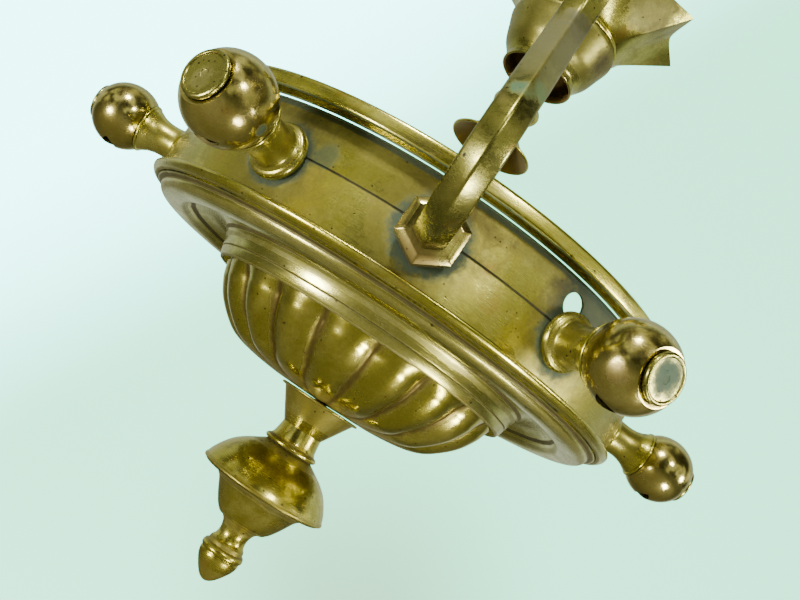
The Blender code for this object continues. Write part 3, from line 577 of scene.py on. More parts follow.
def brass(name, patina=0.5, rough=0.24, scale=1.0, shift=(0.0, 0.0, 0.0), marks=(7.0, 2600.0),
          bump=0.10, spots=(0.004, 0.12, 0.25), layers=(), bright=None, middle=None, lining=0.0):
    """Aged brass. Each layer is (group, its values, colour, strength, roughness, metallic)."""
    look = bpy.data.materials.new(name)
    look.use_nodes = True
    t = Tree(look.node_tree)
    shader = look.node_tree.nodes["Principled BSDF"]

    def place(made, **values):
        node = t.add("ShaderNodeGroup", node_tree=made)
        for label, value in values.items():
            node.inputs[label].default_value = value
        return node.outputs

    kit = finish()
    tone = place(aged_tone(), Bright=(*(bright or kit.bright), 1.0),
                 Middle=(*(middle or kit.middle), 1.0),
                 Deep=(*kit.deep, 1.0), Patina=patina, Scale=scale, Roughness=rough, Shift=shift)
    lines = place(lathe_marks(), Along=marks[0], Across=marks[1])
    dots = place(specks(), Spacing=spots[0], Size=spots[1], Share=spots[2])["Mask"]
    colour = tone["Colour"]
    roughness = t.maths("ADD", tone["Rough"], t.maths("MULTIPLY", lines["Streak"], 0.08), clamp=True)
    metal = t.maths("SUBTRACT", 1.0, t.maths("MULTIPLY", tone["Patina"], 0.35))
    colour = t.mixed(t.maths("MULTIPLY", lines["Streak"], 0.16), colour, (*kit.deep, 1.0))
    colour = t.mixed(t.maths("MULTIPLY", dots, 0.85), colour, (0.02, 0.016, 0.008, 1.0))
    for make, values, tint, strength, dull, shine in layers:
        mask = t.maths("MULTIPLY", place(make(), **values)["Mask"], strength)
        colour = t.mixed(mask, colour, (*tint, 1.0))
        roughness = t.maths("ADD", roughness,
                            t.maths("MULTIPLY", mask, t.maths("SUBTRACT", dull, roughness)))
        metal = t.maths("ADD", metal, t.maths("MULTIPLY", mask, t.maths("SUBTRACT", shine, metal)))
    if lining:
        mask = t.maths("MULTIPLY", t.add("ShaderNodeAttribute", attribute_name="lining").outputs["Fac"],
                       lining)
        colour = t.mixed(mask, colour, (0.30, 0.19, 0.06, 1.0))
        roughness = t.maths("ADD", roughness,
                            t.maths("MULTIPLY", mask, t.maths("SUBTRACT", 0.5, roughness)))
        metal = t.maths("SUBTRACT", metal, t.maths("MULTIPLY", mask, 0.35))
    height = t.maths("ADD", t.maths("MULTIPLY", lines["Height"], 0.5),
                     t.maths("MULTIPLY", tone["Height"], 0.5))
    height = t.maths("SUBTRACT", height, t.maths("MULTIPLY", dots, 0.8))
    relief = t.add("ShaderNodeBump")
    relief.inputs["Strength"].default_value = bump
    relief.inputs["Distance"].default_value = 0.0004
    t.wire(height, relief.inputs["Height"])
    t.wire(colour, shader.inputs["Base Color"])
    t.wire(roughness, shader.inputs["Roughness"])
    t.wire(metal, shader.inputs["Metallic"])
    t.wire(relief.outputs["Normal"], shader.inputs["Normal"])
    return look


# Blotch layer: stains, and at a few places painted shade and a painted reflection.
def blotch(place, radius, tint, strength, dull, shine):
    return (ragged_blotch, {"Place": place, "Radius": radius}, tint, strength, dull, shine)


def crust(place, radius, strength=0.9):
    return blotch(place, radius, tuple(finish().verdigris), strength, 0.75, 0.1)


# Dark ragged patch about a place; on the upper bell it is a painted dark reflection.
def dark_patch(place, radius, strength=0.9):
    return blotch(place, radius, (0.022, 0.020, 0.010), strength, 0.6, 0.3)


def halo(first, step, height, radius, width, tint, strength, dull, shine):
    values = {"First": first, "Repeat": step, "Height": height, "Radius": radius, "Width": width}
    return (seat_halo, values, tint, strength, dull, shine)


def shade_and_seam_band(low, high, soft, strength=0.9, tint=(0.05, 0.035, 0.012)):
    """Darkening between two heights, as shares of the drum radius: painted shade in hollows, under ledges
    and at lower ends, and dark lines at seams.
    """
    share = sizes().drum_radius
    values = {"Low": low * share - DROP, "High": high * share - DROP, "Soft": soft}
    return (level_band, values, tint, strength, 0.6, 0.5)


# --- geometry nodes -----------------------------------------------------------------------------

def nodes_mesh(name, tree, mesh=None, **inputs):
    """Runs a geometry tree on the mesh and gives back a plain mesh."""
    holder = bpy.data.objects.new("work_" + name, mesh or bpy.data.meshes.new("work_" + name))
    bpy.context.scene.collection.objects.link(holder)
    step = holder.modifiers.new("nodes", "NODES")
    step.node_group = tree
    for item in tree.interface.items_tree:
        if item.in_out == "INPUT" and item.name in inputs:
            step[item.identifier] = inputs[item.name]
    bpy.context.view_layer.update()
    out = bpy.data.meshes.new_from_object(holder.evaluated_get(bpy.context.evaluated_depsgraph_get()))
    out.name = name
    bpy.data.objects.remove(holder, do_unlink=True)
    return out


def geometry_tree(name, inputs, build):
    if name in bpy.data.node_groups:
        return bpy.data.node_groups[name]
    made = bpy.data.node_groups.new(name, "GeometryNodeTree")
    made.interface.new_socket(name="Geometry", in_out="INPUT", socket_type="NodeSocketGeometry")
    for label, kind, value in inputs:
        socket = made.interface.new_socket(name=label, in_out="INPUT", socket_type="NodeSocket" + kind)
        if value is not None:
            socket.default_value = value
    made.interface.new_socket(name="Geometry", in_out="OUTPUT", socket_type="NodeSocketGeometry")
    t = Tree(made)
    given = t.add("NodeGroupInput").outputs
    whole = t.add("GeometryNodeRealizeInstances")
    t.wire(build(t, given), whole.inputs["Geometry"])
    paint = t.add("GeometryNodeSetMaterial")
    t.wire(whole.outputs[0], paint.inputs["Geometry"])
    t.wire(given["Material"], paint.inputs["Material"])
    t.wire(paint.outputs[0], t.add("NodeGroupOutput").inputs[0])
    return made


def round_the_drum():
    """Copies of a piece on the drum's wall, each turned to look outwards."""
    def build(t, given):
        spots = t.add("GeometryNodePoints")
        t.wire(given["Count"], spots.inputs["Count"])
        turn = t.maths("ADD", given["First Bearing"], t.maths(
            "MULTIPLY", t.add("GeometryNodeInputIndex").outputs[0],
            t.maths("DIVIDE", 2.0 * math.pi, given["Count"])))
        at = t.add("ShaderNodeCombineXYZ")
        t.wire(t.maths("MULTIPLY", t.maths("SINE", turn), given["Radius"]), at.inputs[0])
        t.wire(t.maths("MULTIPLY", t.maths("COSINE", turn), t.maths("MULTIPLY", given["Radius"], -1.0)),
               at.inputs[1])
        t.wire(given["Height"], at.inputs[2])
        t.wire(at.outputs[0], spots.inputs["Position"])
        angles = t.add("ShaderNodeCombineXYZ")
        t.wire(t.maths("ADD", given["Lean"], math.pi / 2.0), angles.inputs[0])
        t.wire(turn, angles.inputs[2])
        rotation = t.add("FunctionNodeEulerToRotation")
        t.wire(angles.outputs[0], rotation.inputs[0])
        copies = t.add("GeometryNodeInstanceOnPoints")
        t.wire(spots.outputs[0], copies.inputs["Points"])
        t.wire(given["Geometry"], copies.inputs["Instance"])
        t.wire(rotation.outputs[0], copies.inputs["Rotation"])
        return copies.outputs[0]

    return geometry_tree("Round the drum", [
        ("Count", "Int", 6), ("First Bearing", "Float", 0.0), ("Radius", "Float", 0.1),
        ("Height", "Float", 0.0), ("Lean", "Float", 0.0), ("Material", "Material", None),
    ], build)


def lobes_tree():
    """Pulls a turned bowl in along meridian grooves, least at its collar."""
    def build(t, given):
        position = t.add("GeometryNodeInputPosition").outputs[0]
        parts = t.add("ShaderNodeSeparateXYZ")
        t.wire(position, parts.inputs[0])
        x, y, z = parts.outputs
        angle = t.maths("ARCTAN2", x, t.maths("MULTIPLY", y, -1.0))
        phase = t.maths("MULTIPLY", t.maths("SUBTRACT", angle, given["Turn"]),
                        t.maths("MULTIPLY", given["Count"], 0.5))
        wave = t.maths("POWER", t.maths("ABSOLUTE", t.maths("SINE", phase)), 0.80)
        sink = t.maths("SUBTRACT", 1.0, wave)
        low = t.smooth(z, given["Collar"], t.maths("ADD", given["Collar"], 0.009), 0.12, 1.0)
        high = t.smooth(z, t.maths("SUBTRACT", given["Rim"], 0.009), given["Rim"], 1.0, 0.42)
        amount = t.maths("MULTIPLY", t.maths("MULTIPLY", low, high),
                         t.maths("MULTIPLY", sink, given["Depth"]))
        flat = t.add("ShaderNodeCombineXYZ")
        t.wire(x, flat.inputs[0])
        t.wire(y, flat.inputs[1])
        t.wire(t.maths("MULTIPLY", t.maths("SUBTRACT", z, given["Rim"]), 1.1), flat.inputs[2])
        unit = t.add("ShaderNodeVectorMath", operation="NORMALIZE")
        t.wire(flat.outputs[0], unit.inputs[0])
        shift = t.add("ShaderNodeVectorMath", operation="SCALE")
        t.wire(unit.outputs[0], shift.inputs[0])
        t.wire(t.maths("MULTIPLY", amount, -1.0), shift.inputs["Scale"])
        move = t.add("GeometryNodeSetPosition")
        t.wire(given["Geometry"], move.inputs["Geometry"])
        t.wire(shift.outputs[0], move.inputs["Offset"])
        return move.outputs[0]

    return geometry_tree("Bowl lobes", [
        ("Count", "Float", 18.0), ("Turn", "Float", 0.0), ("Depth", "Float", 0.004),
        ("Collar", "Float", 0.0), ("Rim", "Float", 0.0), ("Material", "Material", None),
    ], build)


def thread_tree():
    """One helical ridge, closed at both ends."""
    def build(t, given):
        spiral = t.add("GeometryNodeCurveSpiral")
        spiral.inputs["Resolution"].default_value = 40
        t.wire(given["Turns"], spiral.inputs["Rotations"])
        t.wire(given["Radius"], spiral.inputs["Start Radius"])
        t.wire(given["Radius"], spiral.inputs["End Radius"])
        t.wire(given["Length"], spiral.inputs["Height"])
        ridge = t.add("GeometryNodeCurvePrimitiveCircle")
        ridge.inputs["Resolution"].default_value = 6
        t.wire(given["Ridge"], ridge.inputs["Radius"])
        body = t.add("GeometryNodeCurveToMesh")
        body.inputs["Fill Caps"].default_value = True
        t.wire(spiral.outputs[0], body.inputs["Curve"])
        t.wire(ridge.outputs[0], body.inputs["Profile Curve"])
        return body.outputs[0]

    return geometry_tree("Thread ridge", [
        ("Turns", "Float", 7.0), ("Radius", "Float", 0.006), ("Length", "Float", 0.01),
        ("Ridge", "Float", 0.0005), ("Material", "Material", None),
    ], build)


def thread(name, radius, low, high, pitch, look, placed):
    turns = (high - low) / pitch
    mesh = nodes_mesh(name, thread_tree(), Turns=turns, Radius=radius, Length=high - low,
                      Ridge=pitch * 0.36, Material=look)
    mesh.transform(placed @ Matrix.Translation((0.0, 0.0, low)))
    return mesh


# --- pieces -------------------------------------------------------------------------------------

def hole_share():
    return (STEM_R + GAP) / sizes().drum_radius


def make_stem():
    share = sizes().drum_radius
    dull = brass("ceiling_plate_brass", 0.7, 0.38, shift=(0.3, 0.1, 0.2))
    socket = STEM_R + GAP
    runs = [[(0.0, 0.0), (0.045, 0.0)], [(0.045, -0.0036)],
            [(0.0425, -0.006), (0.016, -0.006)], [(0.016, -0.022)],
            [(socket, -0.022)], [(socket, -0.006)], [(0.0, -0.006)]]
    plate = turned("ceiling_plate_turned", profile(runs, 0.0004))
    for i in range(3):
        turn = math.radians(60.0 + 120.0 * i)
        hole = turned("hole", [(0.0, 0.01), (0.0025, 0.01), (0.0025, -0.0045), (0.0045, -0.0066),
                               (0.0045, -0.02), (0.0, -0.02)], 32)
        hole.transform(Matrix.Translation((0.032 * math.sin(turn), -0.032 * math.cos(turn), 0.0)))
        plate = cut_by(plate, hole)
    piece("ceiling_plate_finished", plate, dull, "frame", ["ceiling_plate"])

    hole = STEM_R + GAP
    r = 0.060
    h = 0.042
    look = brass("canopy_brass", 0.5, 0.22, shift=(0.7, 0.2, 0.1))
    runs = [
        [(hole, -h), (STEM_R + 0.004, -h)],
        [(STEM_R + 0.0042, -h + 0.003), (STEM_R + 0.0042, -h + 0.0085)],
        [(r * 0.42, -h + 0.0125), (r * 0.70, -h * 0.58), (r * 0.88, -h * 0.36), (r * 0.93, -h * 0.13)],
        [(r * 0.965, -h * 0.10), (r, -GAP - 0.0022), (r, -GAP)], [(r - 0.0018, -GAP)],
        [(r * 0.95, -h * 0.07), (r * 0.905, -h * 0.12), (r * 0.855, -h * 0.34), (r * 0.68, -h * 0.545),
         (r * 0.42, -h + 0.0144), (hole, -h + 0.0112)],
        [(hole, -h)],
    ]
    piece("canopy_finished", turned("canopy_turned", profile(runs, 0.0004)), look, "canopy",
          ["ceiling_canopy"])

    pipe = brass("stem_brass", 0.9, 0.30, shift=(0.1, 0.9, 0.4), marks=(30.0, 900.0))
    low = HUB_SHARE * share + 0.009 - DROP
    runs = [(0.0045, low), (STEM_R - 0.0005, low), (STEM_R, low + 0.0005), (STEM_R, -0.0068),
            (STEM_R - 0.0005, -0.0063), (0.0045, -0.0063)]
    piece("stem_pipe_finished", turned("stem_pipe_turned", runs, 48), pipe, "frame", ["stem_pipe"])

    r = 0.0124 / share
    hole = hole_share()
    runs = [
        [(hole, 0.792), (r * 0.86, 0.792)], [(r, 0.802), (r, 0.822)],
        [(r * 0.90, 0.828), (r * 0.90, 0.834), (r, 0.840)],
        [(r, 0.862)], [(r * 0.86, 0.876), (r * 0.80, 0.880)], [(r * 0.80, 0.930)],
        [(hole, 0.930)], [(hole, 0.792)],
    ]
    look = brass("coupling_brass", 0.9, 0.30, shift=(0.6, 0.9, 0.4))
    piece("stem_coupling_finished", spun("stem_coupling_turned", runs, 72), look, "frame",
          ["stem_coupling"])


def make_bells():
    share = sizes().drum_radius
    hole = hole_share()
    t = SHEET_T / share
    top = 1.4545
    runs = [
        [(0.1500, 1.2400), (0.1540, 1.2350), (0.1585, 1.2340), (0.1620, 1.2380), (0.1615, 1.2450),
         (0.1590, 1.2500)],
        [(0.1610, 1.2660), (0.1790, 1.2960), (0.2030, 1.3320), (0.2230, 1.3890), (0.2360, 1.4250),
         (0.2400, 1.4420), (0.2370, top)],
        [(hole, top)], [(hole, top - t * 1.1)], [(0.2260, top - t * 1.1)],
        [(0.2290, 1.442), (0.2250, 1.427), (0.2135, 1.392), (0.1935, 1.336), (0.1690, 1.3000),
         (0.1505, 1.268), (0.1500, 1.2400)],
    ]
    # Painted shade inside the upper bell.
    inside = shade_and_seam_band(1.300, 1.440, 0.003, 0.35)
    # Painted reflection: the dark patch on the upper bell's outside, front right.
    place = (0.035, -0.020, 1.36 * share - DROP)
    look = brass("upper_bell_brass", 0.75, 0.20, shift=(0.2, 0.5, 0.8),
                 layers=(inside, dark_patch(place, 0.016, 0.6)),
                 middle=(0.33, 0.31, 0.06), bright=(0.52, 0.49, 0.13), lining=0.9)
    piece("upper_bell_finished", spun("upper_bell_turned", runs), look, "frame", ["upper_slip_bell"])

    runs = [
        [(0.1680, 0.8690), (0.1740, 0.8665), (0.1785, 0.8700), (0.1780, 0.8760), (0.1700, 0.8800)],
        [(0.1480, 0.8925), (0.1220, 0.9120), (0.0980, 0.9370), (0.0790, 0.9640), (0.0690, 0.9870),
         (0.0675, 1.0100), (0.0740, 1.0370), (0.0850, 1.0500)],
        [(0.0975, 1.0590), (0.1045, 1.0760), (0.0990, 1.0930), (0.0850, 1.1010)],
        [(0.0710, 1.1180), (0.0650, 1.1460), (0.0645, 1.2000), (0.0645, 1.2680)], [(hole, 1.2700)],
        [(hole, 0.9680)], [(0.0720, 0.9550), (0.0900, 0.9300), (0.1150, 0.9050), (0.1430, 0.8860),
                           (0.1680, 0.8690)],
    ]
    look = brass("lower_bell_brass", 0.8, 0.24, shift=(0.9, 0.1, 0.3),
                 # Painted shade in the flared mouth of the lower bell.
                 layers=(shade_and_seam_band(0.880, 0.960, 0.002, 0.3),), lining=0.8)
    piece("lower_bell_finished", spun("lower_bell_turned", runs, 96), look, "slip_bell",
          ["lower_slip_bell"])


def make_crown():
    """Cone whose rim is a star; its sides curve in between the points, and its sheet has one thickness."""
    share = sizes().drum_radius
    points = sizes().crown_points
    hole = hole_share()
    t = SHEET_T / share
    look = brass("crown_ring_brass", 0.5, 0.2, shift=(0.4, 0.4, 0.1))
    runs = [
        [(hole, 1.4575), (0.2260, 1.4575)],
        [(0.2350, 1.4600), (0.2385, 1.4660), (0.2350, 1.4715), (0.2290, 1.4735)],
        [(0.2320, 1.4770), (0.2325, 1.4810), (0.2290, 1.4850), (0.2220, 1.4867)], [(hole, 1.4867)],
        [(hole, 1.4575)],
    ]
    piece("crown_ring_finished", spun("crown_ring_turned", runs, edge=0.002), look, "frame",
          ["crown_ring"])

    steps = points * 24
    low, high, ring, tip, notch = 1.489, 1.680, 0.222, 0.4695, 0.381
    turn = math.radians(11.0)

    def rim(a):
        phase = (a - turn) / (2.0 * math.pi / points)
        off = abs(phase - round(phase)) * 2.0
        return notch + (tip - notch) * (1.0 - off) ** 1.7

    def cone(rise, inner):
        row = []
        for i in range(steps):
            a = turn + 2.0 * math.pi * i / steps
            r = ring + 0.010 + (rim(a) - ring - 0.010) * rise - inner
            z = low + 0.008 + (high - low - 0.008) * rise
            row.append((r * share * math.sin(a), -r * share * math.cos(a), z * share - DROP))
        return row

    def flat(r, z):
        return [(r * share * math.sin(turn + 2.0 * math.pi * i / steps),
                 -r * share * math.cos(turn + 2.0 * math.pi * i / steps),
                 z * share - DROP) for i in range(steps)]

    rings = [flat(hole, low), flat(ring - 0.004, low), flat(ring, low + 0.001)]
    rises = [k / 10.0 for k in range(11)]
    rings += [cone(rise, 0.0) for rise in rises]
    rings += [cone(1.0, t * 0.5)] + [cone(rise, t * 1.15) for rise in reversed(rises)]
    rings += [flat(ring - t * 1.3, low + t), flat(hole, low + t), flat(hole, low)]
    mesh = lofted("star_crown_spun", rings, False)
    place = (0.036, -0.040, 1.60 * share - DROP)
    look = brass("crown_brass", 0.70, 0.20, shift=(0.8, 0.3, 0.6), layers=(dark_patch(place, 0.020, 0.55),),
                 middle=(0.34, 0.32, 0.06), bright=(0.56, 0.53, 0.14), lining=0.5)
    piece("star_crown_finished", mesh, look, "frame", ["star_crown"], 30.0)


def make_drum():
    share = sizes().drum_radius
    top = WALL_TOP[1]
    t = WALL_T / share

    def at(height, out=0.0):
        return wall_radius(height) + out, height

    runs = [
        [at(0.026), at(SCORE_SHARE - 0.0022)], [at(SCORE_SHARE - 0.0022), at(SCORE_SHARE, -0.0030)],
        [at(SCORE_SHARE, -0.0030), at(SCORE_SHARE + 0.0022)],
        [at(SCORE_SHARE + 0.0022), at(top - 0.0085)],
        [at(top - 0.0085), at(top - 0.0070, 0.0038), at(top - 0.0045, 0.0052), at(top - 0.0020, 0.0038),
         at(top, 0.0005)],
        [at(top, 0.0005), at(top, -t)], [at(top, -t), at(0.026, -t)], [at(0.026, -t), at(0.026)],
    ]
    wall = turned("drum_wall_turned", sized(profile(runs, 0.0015), share), 192)

    def drill(radius, placed, size=40):
        return turned("drill", [(0.0, -0.010), (radius, -0.010), (radius, 0.010), (0.0, 0.010)],
                      size), placed

    holes = [drill(0.0053, seat_frame(b, BALL_SHARE)) for b in range(-150, 180, 60)]
    holes += [drill(0.0063, seat_frame(b, ARM_SHARE)) for b in SEAT_BEARINGS]
    holes.append(drill(0.00575, seat_frame(27.9, 0.26), 56))
    wall.transform(Matrix.Translation((0.0, 0.0, -DROP)))
    for tool, placed in holes:
        tool.transform(placed @ Matrix.Rotation(0.05, 4, "Z"))
        wall = cut_by(wall, tool)
    kit = finish()
    teal = tuple(kit.verdigris)
    # Dark teal: verdigris on the bead under the rim, darkened as painted shade under the rim's overhang.
    verdigris_and_shade = (0.055, 0.120, 0.085)
    seat_z = ARM_SHARE * share - DROP
    ball_z = BALL_SHARE * share - DROP
    near = math.radians(24.5)
    far_place = (0.140 * math.sin(near), -0.140 * math.cos(near), 0.245 * share - DROP)
    side = math.radians(32.0)
    side_place = (0.141 * math.sin(side), -0.141 * math.cos(side), 0.290 * share - DROP)
    left = math.radians(-22.0)
    left_place = (0.141 * math.sin(left), -0.141 * math.cos(left), 0.215 * share - DROP)
    layers = (
        halo(0.0, SEAT_STEP, seat_z, 0.0150, 0.0055, teal, 0.95, 0.7, 0.15),
        halo(FIRST_BALL, BALL_STEP, ball_z, 0.0135, 0.0050, teal, 0.95, 0.7, 0.15),
        halo(FIRST_BALL, BALL_STEP, ball_z, 0.018, 0.012, (0.10, 0.085, 0.035), 0.45, 0.5, 0.7),
        halo(0.0, SEAT_STEP, seat_z, 0.019, 0.012, (0.11, 0.09, 0.03), 0.4, 0.5, 0.7),
        # Painted shade under the rim's overhang: a dark teal strip over the bead and a broad brown band
        # below it; then a dark line in the scored groove.
        shade_and_seam_band(0.318, 0.345, 0.0012, 0.85, verdigris_and_shade),
        shade_and_seam_band(0.285, 0.345, 0.006, 0.45),
        shade_and_seam_band(SCORE_SHARE - 0.0030, SCORE_SHARE + 0.0030, 0.0003, 0.9, (0.02, 0.018, 0.008)),
        dark_patch(far_place, 0.012, 0.55), blotch(side_place, 0.022, (0.030, 0.050, 0.026), 0.85, 0.6, 0.35),
        crust(left_place, 0.008, 0.5),
    )
    look = brass("drum_wall_brass", 0.75, 0.27, 1.0, (0.0, 0.0, 0.0), (9.0, 3200.0), 0.16,
                 (0.0035, 0.10, 0.35), layers,
                 middle=(0.40, 0.365, 0.058), bright=(0.60, 0.56, 0.130))
    piece("drum_wall_finished", wall, look, "frame", ["drum_wall"])

    high = WALL_LOW[1] - GAP / share
    runs = [
        [(0.958, -0.007), (0.9750, -0.007)],
        [(0.9850, -0.0050), (0.9940, -0.0010), (1.0005, 0.0055), (1.0040, 0.0125), (1.0045, 0.0175),
         (1.0025, 0.0212), (0.9970, high)],
        [(0.958, high)], [(0.958, -0.007)],
    ]
    look = brass("astragal_brass", 0.45, 0.20, 1.3, (0.5, 0.1, 0.7),
                 layers=(shade_and_seam_band(0.0222, 0.0260, 0.0002, 0.9),
                         shade_and_seam_band(-0.0085, -0.0060, 0.0003, 0.7)))
    piece("astragal_finished", spun("astragal_turned", runs, 192, edge=0.0008), look, "frame",
          ["drum_astragal"])

    low = top + GAP / share
    runs = [
        [(0.940, low), (0.982, low)], [(0.984, 0.367)], [(1.022, 0.367)], [(1.0235, 0.3450)],
        [(1.0265, 0.3405), (1.0320, 0.3398), (1.0370, 0.3440), (1.0390, 0.3540), (1.0392, 0.3760),
         (1.0370, 0.3850), (1.0310, 0.3905), (1.0180, 0.3920)],
        [(0.9450, 0.3920), (0.940, 0.3885)], [(0.940, low)],
    ]
    look = brass("rim_brass", 0.5, 0.22, 1.2, (0.2, 0.8, 0.5),
                 # Painted shade in dark teal on the rim's underside, over verdigris.
                 layers=(shade_and_seam_band(0.330, 0.3415, 0.0004, 0.8, verdigris_and_shade),))
    piece("rim_finished", spun("rim_turned", runs, 192, edge=0.002), look, "frame", ["top_rim"])


def make_pan():
    share = sizes().drum_radius
    t = SHEET_T / share
    top = -0.0070 - GAP / share
    runs = [
        [(0.9725, top), (0.9600, -0.0140), (0.9500, -0.0168)],
        [(0.9480, -0.0240), (0.9440, -0.0330), (0.9350, -0.0420), (0.9220, -0.0480), (0.9050, -0.0515),
         (0.8850, -0.0530), (0.8650, -0.0518), (0.8480, -0.0480), (0.8340, -0.0410)],
        [(0.8240, -0.0270), (0.8080, -0.0120), (0.7850, 0.0010), (0.7550, 0.0090), (0.7200, 0.0085),
         (0.6900, -0.0010), (0.6670, -0.0200), (0.6530, -0.0450), (0.6440, -0.0755)],
        [(0.6395, -0.0780)], [(0.6415, -0.0805), (0.6350, -0.1010), (0.6280, -0.1150)],
        [(0.6280 - t, -0.1150)],
        [(0.6330, -0.0750), (0.6430, -0.0440), (0.6580, -0.0140), (0.6850, 0.0080), (0.7200, 0.0175),
         (0.7570, 0.0180), (0.7900, 0.0095), (0.8250, -0.0150), (0.8500, -0.0370), (0.8800, -0.0440),
         (0.9080, -0.0410), (0.9300, -0.0310), (0.9360, top)],
        [(0.9725, top)],
    ]
    # Painted shade under the flange's step and at the torus's inner lip; dark lines at the scored line and
    # the lower edge.
    layers = (shade_and_seam_band(-0.0215, -0.0135, 0.0005, 0.85), shade_and_seam_band(-0.0800, -0.0760, 0.0003, 0.7),
              shade_and_seam_band(-0.1170, -0.1125, 0.0006, 0.6), shade_and_seam_band(-0.0430, -0.0360, 0.0010, 0.4))
    look = brass("pan_brass", 0.35, 0.20, 1.2, (0.9, 0.6, 0.2), (8.0, 2200.0), 0.10, (0.005, 0.10, 0.2),
                 layers, middle=(0.56, 0.52, 0.12), bright=(0.80, 0.76, 0.27))
    piece("pan_finished", spun("pan_turned", runs, 192, edge=0.0018, per=4), look, "frame", ["lower_pan"])


def make_bowl():
    share = sizes().drum_radius
    kit = sizes()
    t = SHEET_T / share
    hole = (ROD_R + GAP) / share
    runs = [
        [(0.6010, -0.0950), (0.5990, -0.1080), (0.5880, -0.1400), (0.575, -0.173), (0.540, -0.228),
         (0.494, -0.274),
         (0.4395, -0.314), (0.390, -0.334), (0.330, -0.3465), (0.2650, -0.3550), (0.205, -0.3600)],
        [(hole, -0.364)], [(hole, -0.364 + t)],
        [(0.205, -0.360 + t), (0.345, -0.3330), (0.474, -0.272), (0.552, -0.182), (0.5840, -0.1080),
         (0.5880, -0.095)],
        [(0.6010, -0.0950)],
    ]
    mesh = spun("bowl_turned", runs, kit.flute_count * 20, edge=0.0020, per=6)
    turn = math.radians(5.4)
    layers = (
        # Dirt and painted shade in the grooves between the lobes.
        (groove_dirt_and_shade, {"Count": float(kit.flute_count), "Turn": turn, "Width": 0.46},
         (0.085, 0.050, 0.014), 0.85, 0.5, 0.75),
        # Painted shade at the bottom of the bowl, by its collar.
        shade_and_seam_band(-0.362, -0.344, 0.0025, 0.55, (0.10, 0.06, 0.02)),
    )
    look = brass("bowl_brass", 0.5, 0.17, 1.2, (0.4, 0.7, 0.9), (40.0, 500.0), 0.10, (0.004, 0.10, 0.25),
                 layers, middle=(0.50, 0.45, 0.070), bright=(0.76, 0.68, 0.17))
    mesh = nodes_mesh("fluted_bowl_spun", lobes_tree(), mesh, Count=float(kit.flute_count), Turn=turn,
                      Depth=kit.flute_depth, Collar=-0.3600 * share - DROP, Rim=-0.0950 * share - DROP,
                      Material=look)
    piece("fluted_bowl_finished", mesh, look, "frame", ["fluted_bowl"], sharp=50.0)


